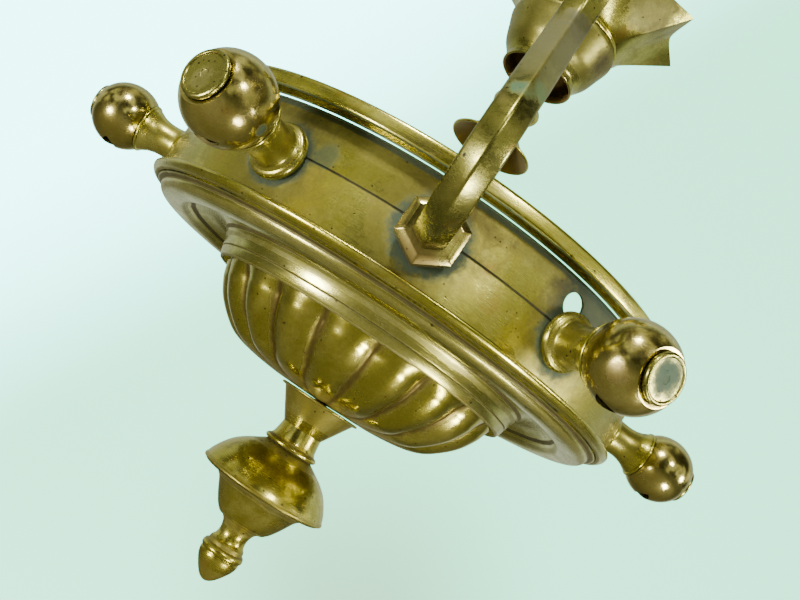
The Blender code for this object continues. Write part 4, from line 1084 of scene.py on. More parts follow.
def make_finial():
    share = sizes().drum_radius
    t = SHEET_T / share
    hole = (ROD_R + GAP) / share
    # Painted shade from the bands: on the neck under the bowl, at the dome's top and rim, in the cup's
    # mouth and at the acorn's top; darker towards the acorn's tip; the thinnest bands are dark lines at the
    # joints and beads.
    parts = {
        "finial_neck": ([
            [(hole, -0.3662), (0.1600, -0.3662)],
            [(0.1675, -0.3680), (0.1690, -0.3715), (0.1675, -0.3750), (0.1600, -0.3768)],
            [(0.1480, -0.3790), (0.1320, -0.3870), (0.1145, -0.4040), (0.1000, -0.4280),
             (0.0870, -0.4530), (0.0820, -0.4740),
             (0.0845, -0.5080), (0.0900, -0.5400), (0.0960, -0.5540)],
            [(0.1060, -0.5590), (0.1105, -0.5660), (0.1075, -0.5730), (0.0995, -0.5780)],
            [(hole, -0.5780)],
            [(hole, -0.3662)]], (shade_and_seam_band(-0.440, -0.380, 0.003, 0.45),
                                 shade_and_seam_band(-0.580, -0.574, 0.0005, 0.8),
                                 shade_and_seam_band(-0.558, -0.552, 0.0006, 0.6))),
        "finial_dome": ([
            [(hole, -0.5800), (0.0980, -0.5800)],
            [(0.1110, -0.5880), (0.1290, -0.5990), (0.1660, -0.6210), (0.2015, -0.6500),
             (0.2270, -0.6830), (0.2455, -0.7150), (0.2530, -0.7340), (0.2555, -0.7400)],
            [(0.2585, -0.7435), (0.2580, -0.7500), (0.2520, -0.7520)], [(0.2460, -0.7520)],
            [(0.2220, -0.6960), (0.1940, -0.6580), (0.1610, -0.6310), (0.1200, -0.6050),
             (0.0960, -0.5800 - t)],
            [(hole, -0.5800 - t)], [(hole, -0.5800)]],
            (shade_and_seam_band(-0.600, -0.578, 0.0015, 0.5), shade_and_seam_band(-0.752, -0.738, 0.0008, 0.35))),
        "finial_cup": ([
            [(hole, -0.8930), (0.0970, -0.8930)],
            [(0.1080, -0.8830), (0.1210, -0.8680), (0.1420, -0.8360), (0.1630, -0.7990),
             (0.1760, -0.7820), (0.1910, -0.7710), (0.2150, -0.7625), (0.2460, -0.7580)],
            [(0.2500, -0.7542)], [(0.2150, -0.7542)],
            [(0.1870, -0.7615), (0.1560, -0.7930), (0.1340, -0.8310), (0.1060, -0.8700),
             (0.0930, -0.8930 + t)],
            [(hole, -0.8930 + t)], [(hole, -0.8930)]],
            (shade_and_seam_band(-0.775, -0.752, 0.0020, 0.6), shade_and_seam_band(-0.896, -0.888, 0.0006, 0.6))),
        "finial_acorn": ([
            [(hole, -0.8950), (0.0850, -0.8950)],
            [(0.0760, -0.9020), (0.0660, -0.9130), (0.0590, -0.9330), (0.0575, -0.9500),
             (0.0610, -0.9680), (0.0690, -0.9800)],
            [(0.0710, -0.9840), (0.0730, -0.9960)],
            [(0.0810, -1.0010), (0.0850, -1.0110), (0.0840, -1.0200), (0.0790, -1.0250)],
            [(0.0797, -1.0390), (0.0740, -1.0580), (0.0640, -1.0760), (0.0460, -1.1020),
             (0.0280, -1.1215), (0.0120, -1.1310), (0.0, -1.1330)],
            [(0.0, -0.9870)], [(hole, -0.9870)], [(hole, -0.8950)]],
            (shade_and_seam_band(-0.915, -0.895, 0.0020, 0.4), shade_and_seam_band(-1.000, -0.980, 0.0010, 0.5),
             shade_and_seam_band(-1.14, -1.09, 0.004, 0.45))),
    }
    for i, (name, (runs, layers)) in enumerate(parts.items()):
        look = brass(name + "_brass", 0.55, 0.19, 1.4, (0.13 * i, 0.71 * i, 0.37), layers=layers,
                     middle=(0.54, 0.47, 0.075))
        outline = profile(runs, 0.0020, per=5, closed=name != "finial_acorn")
        piece(name + "_finished", lift(turned(name + "_turned", sized(outline, share), 112)), look,
              "frame", [name])


def ball_centre():
    return NECK_L + BACK_CUT * sizes().ball_radius


def ball_local(neck):
    """Ball with its slot, in the seat's frame."""
    r = sizes().ball_radius
    inner = r - BALL_T
    back, front = BACK_CUT * r, FRONT_CUT * r

    def curve(radius, start, end, steps):
        low, high = math.asin(start / radius), math.asin(end / radius)
        return [(radius * math.cos(low + (high - low) * i / steps),
                 radius * math.sin(low + (high - low) * i / steps))
                for i in range(steps + 1)]

    outline = curve(r, -back, front, 40)
    outline += [(outline[-1][0] - 0.0005, front)] + curve(inner, front - 0.0002, -back, 26)
    ball = turned("ball_turned", outline, 96)
    half_l, half_w = SLOT_HALF
    bend = (half_l ** 2 + half_w ** 2) / (2.0 * half_w)
    sweep = math.asin(half_l / bend)
    lens = [(bend * math.sin(-sweep + 2 * sweep * i / 16),
             bend * math.cos(-sweep + 2 * sweep * i / 16) - bend + half_w)
            for i in range(16)]
    lens += [(-x, -y) for x, y in lens]
    tool = lofted("slot_tool", [[(x, -r * 1.3, z) for x, z in lens], [(x, -r * 0.5, z) for x, z in lens]])
    ball = cut_by(ball, tool)
    ball.transform(Matrix.Translation((0.0, 0.0, neck)))
    return ball


def make_outlets():
    kit = sizes()
    share = kit.drum_radius
    r = kit.ball_radius
    centre = ball_centre()
    cup = r * math.sqrt(1.0 - BACK_CUT ** 2)
    neck = NECK_L
    around = {"Count": kit.ball_count, "First Bearing": FIRST_BALL,
              "Radius": wall_radius(BALL_SHARE) * share,
              "Height": BALL_SHARE * share - DROP, "Lean": LEAN}
    ball_z = BALL_SHARE * share - DROP - 0.0019

    runs = [
        [(0.0, -0.0115), (0.0050, -0.0115)], [(0.0050, -0.0004)], [(0.0122, -0.0004)],
        [(0.0133, 0.0006), (0.0134, 0.0024), (0.0126, 0.0039), (0.0112, 0.0046)],
        [(0.0100, 0.0062), (0.0096, 0.0100), (0.0097, 0.0150), (0.0108, 0.0198), (0.0125, 0.0232),
         (cup - 0.0008, neck - 0.0020)],
        [(cup - 0.0001, neck - 0.0017), (cup + 0.0003, neck - 0.0011), (cup + 0.0001, neck - 0.0005),
         (cup - 0.0004, neck - GAP)],
        [(0.0, neck - GAP)],
    ]
    teal = tuple(finish().verdigris)
    ring = halo(FIRST_BALL, BALL_STEP, BALL_SHARE * share - DROP, 0.0095, 0.006, (0.10, 0.07, 0.025),
                0.30, 0.5, 0.7)
    look = brass("ball_neck_brass", 0.6, 0.20, 1.6, (0.3, 0.3, 0.9), (20.0, 900.0), 0.08, layers=(ring,))
    mesh = turned("neck_turned", profile(runs, 0.0004, closed=False), 80)
    made = nodes_mesh("ball_necks_set", round_the_drum(), mesh, Material=look, **around)
    piece("ball_necks_finished", made, look, "frame", [f"ball_neck_{i}" for i in range(1, 7)])

    def at(bearing, out, up=0.0):
        turn = math.radians(bearing)
        rr = wall_radius(BALL_SHARE) * share + out
        return (rr * math.sin(turn), -rr * math.cos(turn), ball_z + up)

    layers = (
        crust(at(30.0, centre - 0.002, 0.018), 0.007, 0.75),
        dark_patch(at(-30.0, centre - 0.006, -0.016), 0.009, 0.6),
        blotch(at(-24.5, centre - 0.004, -0.004), 0.0035, teal, 0.8, 0.6, 0.3),
        blotch(at(-33.0, centre + 0.004, -0.013), 0.008, (0.11, 0.065, 0.02), 0.6, 0.5, 0.7),
        blotch(at(26.0, centre + 0.008, -0.008), 0.006, (0.12, 0.07, 0.02), 0.6, 0.5, 0.7),
    )
    look = brass("ball_brass", 0.45, 0.15, 1.5, (0.6, 0.2, 0.4), (14.0, 1400.0), 0.07,
                 (0.0030, 0.10, 0.20), layers,
                 middle=(0.50, 0.42, 0.120), bright=(0.68, 0.60, 0.22))
    made = nodes_mesh("balls_set", round_the_drum(), ball_local(centre), Material=look, **around)
    piece("balls_finished", made, look, "frame", [f"ball_{i}" for i in range(1, 7)])

    seat = FRONT_CUT * r
    plug = math.sqrt((r - BALL_T) ** 2 - seat ** 2) - GAP - 0.0006
    low = seat + GAP
    high = low + CAP_T
    runs = [
        [(0.0, seat - 0.0020), (plug, seat - 0.0020)], [(plug, low)], [(0.0100, low)],
        [(0.0104, low + 0.0005), (0.0104, high - 0.0010), (0.0101, high - 0.0003), (0.0094, high)],
        [(0.0087, high - 0.0001), (0.0083, high - 0.0006)], [(0.0020, high - 0.0004)],
        [(0.0016, high - 0.0008), (0.0, high - 0.0010)],
    ]
    mesh = turned("cap_turned", profile(runs, 0.0003, closed=False), 72)
    mesh.transform(Matrix.Translation((0.0, 0.0, centre)))
    layers = (
        crust(at(30.0, centre + 0.018), 0.009, 0.8),
        dark_patch(at(-30.0, centre + 0.018, -0.003), 0.0055, 0.45),
        blotch(at(-90.0, centre + 0.018), 0.007, (0.08, 0.06, 0.02), 0.6, 0.5, 0.7),
    )
    look = brass("cap_brass", 0.80, 0.22, 2.2, (0.1, 0.5, 0.5), (14.0, 1400.0), 0.12,
                 (0.0025, 0.14, 0.45), layers,
                 middle=(0.36, 0.34, 0.08), bright=(0.60, 0.56, 0.17))
    made = nodes_mesh("caps_set", round_the_drum(), mesh, Material=look, **around)
    piece("ball_caps_finished", made, look, "frame", [f"ball_cap_{i}" for i in range(1, 7)])

    look = brass("lock_nut_brass", 0.9, 0.38, 1.5, (0.8, 0.8, 0.1))
    face = -WALL_T - 0.018 * 0.115
    mesh = hex_nut("lock_nut_cut", 0.0180, face - 0.0045, face, 0.0005, 0.0053, 0.0002)
    made = nodes_mesh("lock_nuts_set", round_the_drum(), mesh, Material=look, **around)
    piece("ball_nuts_finished", made, look, "frame", [f"ball_nut_{i}" for i in range(1, 7)],
          30.0)


def hex_nut(name, flats, low, high, bevel, bore, fillet, collar=None):
    """Nut with softened corners; bevel is how far its outer edges are cut back."""
    per = 4
    steps = 6 * (per + 1)

    def ring(radius, z):
        return [(p.x, p.y, z) for p in flat_sided(radius, 6, fillet, per)]

    def circle(radius, z):
        return [(radius * math.sin(2 * math.pi * (i - per / 2) / steps),
                 radius * math.cos(2 * math.pi * (i - per / 2) / steps), z)
                for i in range(steps)]

    half = flats / 2.0
    rings = [circle(bore, low)]
    if collar:
        rings += [circle(collar[0], low), circle(collar[0], collar[1])]
        start = collar[1]
        rings += [ring(half - 0.0006, start), ring(half, start + 0.0006)]
    else:
        rings += [ring(half - bevel, low), ring(half, low + bevel * 0.6)]
    rise = bevel * 0.62
    rings += [ring(half, high - rise - 0.0002), ring(half - 0.0002, high - rise)]
    rings += [ring(half - bevel + 0.0002, high - 0.0001), ring(half - bevel - 0.0002, high)]
    rings += [circle(bore + 0.0003, high), circle(bore, high - 0.0003), circle(bore, low)]
    return lofted(name, rings, False)


def make_seats():
    share = sizes().drum_radius
    look = brass("seat_nut_brass", 0.6, 0.17, 2.0, (0.25, 0.65, 0.15), (14.0, 1400.0), 0.10,
                 (0.0026, 0.13, 0.35),
                 layers=(halo(0.0, SEAT_STEP, ARM_SHARE * share - DROP - 0.012, 0.006, 0.008,
                              (0.11, 0.065, 0.02), 0.5, 0.5, 0.7),),
                 middle=(0.48, 0.39, 0.12))
    for i, bearing in enumerate(SEAT_BEARINGS):
        mesh = hex_nut(f"seat_nut_{i}_cut", sizes().nut_flats, 0.0021, NUT_FACE, 0.0032, 0.0063, 0.0006,
                       (0.0115, NUT_FOOT))
        mesh.transform(seat_frame(bearing, ARM_SHARE))
        node = "arm_nut" if i == 0 else f"seat_nut_{i + 1}"
        piece(node + "_finished", mesh, look, "frame", [node], sharp=28.0)
    dull = brass("nipple_brass", 0.8, 0.32, 2.0, (0.45, 0.15, 0.35))
    low, high = 0.0071, 0.0216
    for i in (1, 2):
        placed = seat_frame(SEAT_BEARINGS[i], ARM_SHARE)
        body = turned("nipple_core", [(0.0040, low), (0.0054, low), (0.0054, high - 0.0006),
                                      (0.0050, high), (0.0040, high)], 48)
        body.transform(placed)
        ridge = thread(f"seat_thread_{i}", 0.0054, low + 0.0065, high - 0.0012, 0.0013, dull, placed)
        piece(f"seat_nipple_{i + 1}_finished", joined(f"seat_nipple_{i + 1}_turned", [body, ridge]),
              dull, "frame", [f"seat_nipple_{i + 1}"])


def arm_points():
    share = sizes().drum_radius
    face = (NUT_FACE + GAP) / share
    r = wall_radius(ARM_SHARE) + face * math.cos(LEAN)
    z = ARM_SHARE - face * math.sin(LEAN)
    reach = ARM_REACH / share
    tail = reach - 1.37
    return [
        (r, z), (r + 0.05, z - 0.05 * math.tan(LEAN)), (1.185, 0.170), (1.265, 0.200), (1.325, 0.252),
        (1.362, 0.320),
        (1.362, 0.392), (1.335, 0.462), (1.295, 0.535), (1.230, 0.640), (1.165, 0.745), (1.130, 0.840),
        (1.150, 0.950),
        (1.235, 1.045), (1.37, 1.095), (1.37 + tail * 0.25, 1.060), (1.37 + tail * 0.50, 0.930),
        (1.37 + tail * 0.74, 0.845), (1.37 + tail * 0.93, 0.880), (reach, 0.985), (reach, COCK_LEVEL),
    ]


def make_arm():
    """Six-sided drawn tube with softened corners, swept in one plane."""
    share = sizes().drum_radius
    path = [Vector(p) * share for p in flow(arm_points(), 8)]
    for _ in range(2):
        eased = [(a + b * 2.0 + c) / 4.0 for a, b, c in zip(path, path[1:], path[2:])]
        path = [path[0]] + eased + [path[-1]]
    outer = flat_sided(sizes().arm_flats / 2.0, 6, 0.0011, 4)
    inner = flat_sided(ARM_BORE, 6, 0.0011, 4)
    ends = {0: Vector((math.cos(LEAN), -math.sin(LEAN))), len(path) - 1: Vector((0.0, 1.0))}

    def ring(shape, k):
        here = path[k]
        along = ends.get(k, path[min(k + 1, len(path) - 1)] - path[max(k - 1, 0)]).normalized()
        normal = Vector((-along.y, along.x))
        out = []
        for p in shape:
            spot = here + normal * p.y
            out.append((p.x, -spot.x, spot.y - DROP))
        return out

    rings = [ring(outer, k) for k in range(len(path))]
    rings += [ring(inner, k) for k in reversed(range(len(path)))]
    rings.append(ring(outer, 0))
    mesh = lofted("arm_drawn", rings, False)

    def at(r, z, x=0.0):
        return (x, -r * share, z * share - DROP)

    teal = (0.020, 0.125, 0.075)
    layers = (
        blotch(at(1.362, 0.462, -0.001), 0.0062, teal, 0.85, 0.7, 0.15),
        blotch(at(1.345, 0.500, 0.004), 0.0060, teal, 0.60, 0.7, 0.2),
        # Painted shade: dark patch on the right face where the arm bends back out.
        blotch(at(1.18, 0.80, 0.004), 0.010, (0.03, 0.035, 0.018), 0.8, 0.6, 0.3),
        blotch(at(1.235, 0.72, -0.002), 0.020, (0.16, 0.15, 0.075), 0.6, 0.55, 0.6),
        blotch(at(1.383, 0.262, -0.0058), 0.0013, (0.01, 0.008, 0.004), 0.95, 0.8, 0.1),
        blotch(at(1.30, 0.60, 0.004), 0.018, (0.17, 0.16, 0.06), 0.5, 0.5, 0.7),
    )
    look = brass("arm_brass", 0.7, 0.24, 1.6, (0.35, 0.25, 0.85), (30.0, 600.0), 0.12,
                 (0.0035, 0.11, 0.35), layers,
                 middle=(0.25, 0.24, 0.055), bright=(0.44, 0.42, 0.12))
    piece("arm_tube_finished", mesh, look, "frame", ["arm_tube"], sharp=28.0)


def cock_place():
    share = sizes().drum_radius
    return Matrix.Translation((0.0, -ARM_REACH, COCK_LEVEL * share + GAP + COCK_HALF - DROP))


def make_cock():
    placed = cock_place()
    across = placed @ Matrix.Rotation(math.radians(90.0), 4, "X")
    half = COCK_HALF
    look = brass("cock_brass", 0.6, 0.20, 2.0, (0.55, 0.45, 0.25), (14.0, 1400.0), 0.08)
    ball = [(0.0112 * math.cos(math.radians(a)), 0.0112 * math.sin(math.radians(a))) for a in range(-45,
        46, 5)]
    runs = [
        [(0.0, -half), (0.0096, -half)], [(0.0104, -half + 0.0009), (0.0104, -half + 0.0038)],
        [(0.0092, -half + 0.0046), (0.0082, -half + 0.0056), (0.0078, -0.0090), ball[0]],
        ball, [ball[-1], (0.0078, 0.0095), (0.0078, half - 0.0042)],
        [(0.0090, half - 0.0034), (0.0094, half - 0.0022), (0.0093, half - 0.0008), (0.0086, half)],
        [(0.0, half)],
    ]
    body = turned("cock_turned", profile(runs, 0.0003, closed=False), 80)
    body.transform(placed)
    cuts = [
        (turned("bore", [(0.0, -0.03), (ARM_BORE, -0.03), (ARM_BORE, 0.03), (0.0, 0.03)], 64), across),
        (turned("front", [(0.0, 0.0098), (0.018, 0.0098), (0.018, 0.03), (0.0, 0.03)], 64), across),
        (turned("back", [(0.0, -0.03), (0.018, -0.03), (0.018, -0.0098), (0.0, -0.0098)], 64), across),
        (turned("socket", [(0.0, half - 0.006), (0.0059, half - 0.006), (0.0059, half + 0.02),
                           (0.0, half + 0.02)], 64), placed),
    ]
    for tool, spot in cuts:
        tool.transform(spot @ Matrix.Rotation(0.037, 4, "Z"))
        body = cut_by(body, tool)
    piece("cock_body_finished", body, look, "frame", ["cock_body"], sharp=30.0)

    reach = 0.0098
    shine = brass("key_brass", 0.5, 0.18, 2.4, (0.15, 0.35, 0.65), (14.0, 1400.0), 0.08)
    plug = turned("key_plug", profile([[(0.0, -reach + GAP), (0.0044, -reach + GAP)],
                                       [(0.0044, reach + 0.0008)],
                                       [(0.0056, reach + 0.0014), (0.0056, reach + 0.0026),
                                        (0.0040, reach + 0.0036)],
                                       [(0.0, reach + 0.0036)]], 0.0003, closed=False), 56)
    steps = 72
    rows = []
    for level, shrink in ((0.0, 0.90), (0.0005, 0.98), (0.0010, 1.0), (0.0020, 1.0), (0.0025, 0.98),
                          (0.0030, 0.90)):
        row = []
        for i in range(steps):
            a = 2.0 * math.pi * i / steps
            waist = 1.0 - 0.22 * math.cos(2.0 * a) ** 2 * abs(math.sin(a)) ** 0.5
            row.append((0.0065 * math.sin(a) * waist * shrink, 0.0125 * math.cos(a) * shrink,
                        reach + 0.0033 + level))
        rows.append(row)
    paddle = lofted("key_paddle", rows)
    mesh = joined("key_forged", [plug, paddle])
    mesh.transform(across)
    piece("cock_key_finished", mesh, shine, "key", ["cock_key"])

    screw = turned("screw_turned", profile([[(0.0, -reach - GAP), (0.0064, -reach - GAP)],
                                            [(0.0064, -reach - 0.0013)],
                                            [(0.0052, -reach - 0.0016)], [(0.0052, -reach - 0.0032),
                                                (0.0044, -reach - 0.0041)],
                                            [(0.0, -reach - 0.0042)]], 0.0002, closed=False), 56)
    notch = lofted("notch", [[(-0.0005, -0.01, z), (0.0005, -0.01, z), (0.0005, 0.01, z),
                              (-0.0005, 0.01, z)] for z in (-reach - 0.008, -reach - 0.0032)])
    screw = cut_by(screw, notch)
    screw.transform(across)
    dull = brass("key_screw_brass", 0.9, 0.34, 2.4, (0.75, 0.35, 0.05))
    piece("key_screw_finished", screw, dull, "key", ["key_screw"], 30.0)

    end = brass("end_nipple_brass", 0.55, 0.24, 2.4, (0.95, 0.35, 0.55))
    low, high = half - 0.0057, half + 0.013
    core = turned("end_core", profile([[(0.0040, low), (0.0056, low)], [(0.0056, half + 0.0004)],
                                       [(0.0060, half + 0.0010)], [(0.0060, high - 0.0010),
                                           (0.0054, high)],
                                       [(0.0040, high)], [(0.0040, low)]], 0.0002), 64)
    core.transform(placed)
    ridge = thread("end_thread", 0.0060, half + 0.0014, high - 0.0014, 0.0013, end, placed)
    piece("end_nipple_finished", joined("end_nipple_turned", [core, ridge]), end, "frame",
          ["end_nipple"])


def make_inside():
    """Hub, feed pipes, tie rod and lock nut, seen through the open drum."""
    share = sizes().drum_radius
    r = 0.0200
    ball = [(r * math.cos(math.radians(a)), r * math.sin(math.radians(a))) for a in range(-52, 53, 8)]
    runs = [
        [(0.0, -r * 1.45), (0.0110, -r * 1.45)], [(0.0110, -r * 0.95), ball[0]], ball,
        [ball[-1], (0.0120, r * 0.98), (0.0120, r * 1.48)], [(0.0, r * 1.48)],
    ]
    hub = turned("hub_cast", profile(runs, 0.0005, closed=False), 80)
    placed = Matrix.Translation((0.0, 0.0, HUB_SHARE * share - DROP))
    hub.transform(placed)
    cuts = [(STEM_R + GAP, 0.45 * r - GAP, 1.8 * r, placed), (ROD_R + GAP, -1.8 * r, -0.75 * r, placed)]
    for bearing in SEAT_BEARINGS:
        turned_frame = seat_frame(bearing, ARM_SHARE)
        turned_frame.translation = placed.translation
        cuts.append((FEED_R + GAP, 0.60 * r, 1.6 * r, turned_frame))
    for radius, low, high, spot in cuts:
        tool = turned("socket", [(0.0, low), (radius, low), (radius, high), (0.0, high)], 48)
        tool.transform(spot @ Matrix.Rotation(0.041, 4, "Z"))
        hub = cut_by(hub, tool)
    dull = brass("hub_brass", 1.0, 0.36, 1.6, (0.05, 0.55, 0.95))
    piece("gas_hub_finished", hub, dull, "frame", ["gas_hub"], 30.0)

    length = wall_radius(ARM_SHARE) * share / math.cos(LEAN)
    low = r * 0.60 + GAP - length
    high = NUT_FOOT + (NUT_FACE - NUT_FOOT) * 0.4
    pipes = brass("feed_brass", 1.0, 0.34, 1.2, (0.65, 0.75, 0.35), (30.0, 600.0))
    mesh = turned("feed_drawn", [(0.0040, low), (FEED_R - 0.0004, low), (FEED_R, low + 0.0004),
                                 (FEED_R, high - 0.0004),
                                 (FEED_R - 0.0004, high), (0.0040, high)], 40)
    made = nodes_mesh("feeds_set", round_the_drum(), mesh, Material=pipes, Count=3,
                      Radius=wall_radius(ARM_SHARE) * share,
                      Height=ARM_SHARE * share - DROP, Lean=LEAN, **{"First Bearing": 0.0})
    piece("feed_pipes_finished", made, pipes, "frame", ["feed_pipe_1", "feed_pipe_2", "feed_pipe_3"])

    steel = brass("rod_brass", 1.0, 0.40, 1.4, (0.85, 0.05, 0.45))
    low = -0.985 * share - DROP
    high = HUB_SHARE * share - r * 0.75 - GAP - DROP
    rod = turned("rod_drawn", [(0.0, low), (ROD_R - 0.0004, low), (ROD_R, low + 0.0004),
                               (ROD_R, high - 0.0004), (ROD_R - 0.0004, high), (0.0, high)], 40)
    piece("tie_rod_finished", rod, steel, "frame", ["tie_rod"])
    top = 1.4545 * share - SHEET_T * 1.1 - GAP - DROP
    nut = hex_nut("crown_nut_cut", 0.0240, top - 0.0060, top, 0.0008, STEM_R + GAP, 0.0004)
    piece("crown_lock_nut_finished", nut, steel, "frame", ["crown_lock_nut"], 30.0)


# --- stage ----------------------------------------------------------------------------------------

def make_stage():
    """Swept floor that glows, with painted light and a painted shadow on it, soft lamps, dim surroundings
    and the camera.
    """
    kit = finish()
    scene = bpy.context.scene
    floor_z = CAD_BOX[0][2] - 0.30
    bend = 1.6
    back_y = 2.0
    line = [(-7.0, floor_z), (-2.0, floor_z), (-0.5, floor_z), (0.0, floor_z), (back_y, floor_z)]
    for i in range(1, 25):
        a = math.radians(90.0 * i / 24)
        line.append((back_y + bend * math.sin(a), floor_z + bend * (1.0 - math.cos(a))))
    line.append((back_y + bend, 6.0))
    points = [(x, y, z) for y, z in line for x in (-9.0, 9.0)]
    faces = [(2 * i, 2 * i + 1, 2 * i + 3, 2 * i + 2) for i in range(len(line) - 1)]
    mesh = bpy.data.meshes.new("stage_sweep")
    mesh.from_pydata(points, [], faces)
    if mesh.polygons[0].normal.z < 0.0:
        mesh.flip_normals()
    mesh.shade_smooth()
    floor = bpy.data.objects.new("stage_sweep", mesh)
    scene.collection.objects.link(floor)
    paint = bpy.data.materials.new("stage_paint")
    paint.use_nodes = True
    t = Tree(paint.node_tree)
    shader = paint.node_tree.nodes["Principled BSDF"]
    where = t.add("ShaderNodeTexCoord").outputs["Object"]
    parts = t.add("ShaderNodeSeparateXYZ")
    t.wire(where, parts.inputs[0])
    line_up = t.add("ShaderNodeVectorMath", operation="SUBTRACT")
    t.wire(where, line_up.inputs[0])
    line_up.inputs[1].default_value = EYE
    toward = t.add("ShaderNodeVectorMath", operation="NORMALIZE")
    t.wire(line_up.outputs[0], toward.inputs[0])

    def along(axis):
        made = t.add("ShaderNodeVectorMath", operation="DOT_PRODUCT")
        t.wire(toward.outputs[0], made.inputs[0])
        made.inputs[1].default_value = axis
        return made.outputs["Value"]

    # Painted light and shadow on the glowing sweep, as the camera sees it: a brighter corner, and a darker
    # patch low in the view for the chandelier's cast shadow.
    corner = along((-0.95, -0.12, 0.49))
    low_side = t.maths("ABSOLUTE", t.maths("SUBTRACT", along((0.83, -0.02, 0.55)), 0.02))
    under = t.maths("MULTIPLY", t.smooth(along((-0.55, -0.16, 0.82)), -0.40, -0.12, 1.0, 0.0),
                    t.smooth(low_side, 0.02, 0.26, 1.0, 0.0))
    painted_backdrop = t.mixed(t.smooth(corner, 0.02, 0.34), (0.62, 2.9, 1.8, 1.0), (2.3, 8.3, 7.7, 1.0))
    painted_backdrop = t.mixed(under, painted_backdrop, (0.42, 1.45, 0.80, 1.0))
    # Seen in reflections, the sweep glows more towards the back, and its floor takes a dark colour: painted
    # light and painted shade.
    dim = t.smooth(parts.outputs[1], 0.7, 2.2, 0.02, 0.55)
    lit = t.mixed(dim, (0.0, 0.0, 0.0, 1.0), (1.0, 1.15, 1.0, 1.0))
    straight = t.add("ShaderNodeLightPath").outputs["Is Camera Ray"]
    t.wire(t.mixed(straight, lit, painted_backdrop), shader.inputs["Emission Color"])
    t.wire(t.mixed(straight, (0.16, 0.15, 0.09, 1.0), (*kit.floor, 1.0)), shader.inputs["Base Color"])
    shader.inputs["Emission Strength"].default_value = 1.0
    shader.inputs["Roughness"].default_value = 0.9
    mesh.materials.append(paint)

    world = bpy.data.worlds.new("studio")
    scene.world = world
    world.use_nodes = True
    t = Tree(world.node_tree)
    back = world.node_tree.nodes["Background"]
    out = world.node_tree.nodes["World Output"]
    direction = t.add("ShaderNodeTexCoord").outputs["Generated"]
    facing = t.add("ShaderNodeVectorMath", operation="DOT_PRODUCT")
    t.wire(direction, facing.inputs[0])
    facing.inputs[1].default_value = AHEAD
    pale = t.smooth(facing.outputs["Value"], 0.15, 0.65)
    soft = t.noise(direction, 2.1, 2.0)
    level = t.smooth(soft, 0.46, 0.64, 0.0, 1.0)
    dark = t.mixed(level, (0.035, 0.036, 0.018, 1.0), (0.85, 0.88, 0.58, 1.0))
    t.wire(t.mixed(pale, dark, (1.0, 1.15, 1.0, 1.0)), back.inputs["Color"])
    back.inputs["Strength"].default_value = 1.0
    seen = t.add("ShaderNodeBackground")
    seen.inputs["Color"].default_value = (0.62, 2.9, 1.8, 1.0)
    swap = t.add("ShaderNodeMixShader")
    t.wire(t.add("ShaderNodeLightPath").outputs["Is Camera Ray"], swap.inputs[0])
    t.wire(back.outputs[0], swap.inputs[1])
    t.wire(seen.outputs[0], swap.inputs[2])
    t.wire(swap.outputs[0], out.inputs["Surface"])

    middle = Vector((0.0, 0.0, -0.42))
    lamps = (
        ("lamp_high", (-0.55, -0.95, 0.65), 0.24, 20.0), ("lamp_near", (0.45, -1.30, 0.30), 0.18, 8.0),
        ("lamp_side", (1.25, -0.45, -0.30), 0.26, 8.0), ("lamp_low", (-0.8, -0.8, -0.80), 0.30, 12.0),
        ("lamp_under", (0.5, -0.35, -0.88), 0.22, 5.0),
    )
    for name, spot, size, power in lamps:
        data = bpy.data.lights.new(name, "AREA")
        data.shape = "DISK"
        data.size = size
        data.energy = power
        data.color = (1.0, 0.98, 0.92)
        lamp = bpy.data.objects.new(name, data)
        scene.collection.objects.link(lamp)
        lamp.location = spot
        lamp.rotation_euler = (middle - Vector(spot)).to_track_quat("-Z", "Y").to_euler()

    eye = Vector(EYE)
    ahead = Vector(AHEAD).normalized()
    up = Vector((-0.55251, -0.13350, 0.82274)).normalized()
    side = ahead.cross(up).normalized()
    up = side.cross(ahead).normalized()
    data = bpy.data.cameras.new("camera")
    data.sensor_width = 36.0
    data.lens = 35.92
    data.clip_start = 0.01
    camera = bpy.data.objects.new("camera", data)
    scene.collection.objects.link(camera)
    turn = Matrix((side, up, -ahead)).transposed().to_4x4()
    camera.matrix_world = Matrix.Translation(eye) @ turn
    scene.camera = camera


# --- operators, panel and run -----------------------------------------------------------------------

class CHANDELIER_OT_stage(bpy.types.Operator):
    """Floor, soft light and camera"""

    bl_idname = "chandelier.stage"
    bl_label = "Stage"
    bl_options = {"REGISTER", "UNDO"}

    def execute(self, context):
        make_stage()
        return {"FINISHED"}


class CHANDELIER_OT_stem(bpy.types.Operator):
    """Ceiling plate, canopy, stem pipe and coupling"""

    bl_idname = "chandelier.stem"
    bl_label = "Stem"
    bl_options = {"REGISTER", "UNDO"}

    def execute(self, context):
        make_stem()
        return {"FINISHED"}


class CHANDELIER_OT_bells(bpy.types.Operator):
    """The two bells on the stem"""

    bl_idname = "chandelier.bells"
    bl_label = "Slip bells"
    bl_options = {"REGISTER", "UNDO"}

    def execute(self, context):
        make_bells()
        return {"FINISHED"}


class CHANDELIER_OT_crown(bpy.types.Operator):
    """Star crown and the double ring under it"""

    bl_idname = "chandelier.crown"
    bl_label = "Star crown"
    bl_options = {"REGISTER", "UNDO"}

    def execute(self, context):
        make_crown()
        return {"FINISHED"}


class CHANDELIER_OT_drum(bpy.types.Operator):
    """Drum wall, astragal and top rim"""

    bl_idname = "chandelier.drum"
    bl_label = "Drum"
    bl_options = {"REGISTER", "UNDO"}

    def execute(self, context):
        make_drum()
        return {"FINISHED"}


class CHANDELIER_OT_pan(bpy.types.Operator):
    """Coved pan under the drum"""

    bl_idname = "chandelier.pan"
    bl_label = "Lower pan"
    bl_options = {"REGISTER", "UNDO"}

    def execute(self, context):
        make_pan()
        return {"FINISHED"}


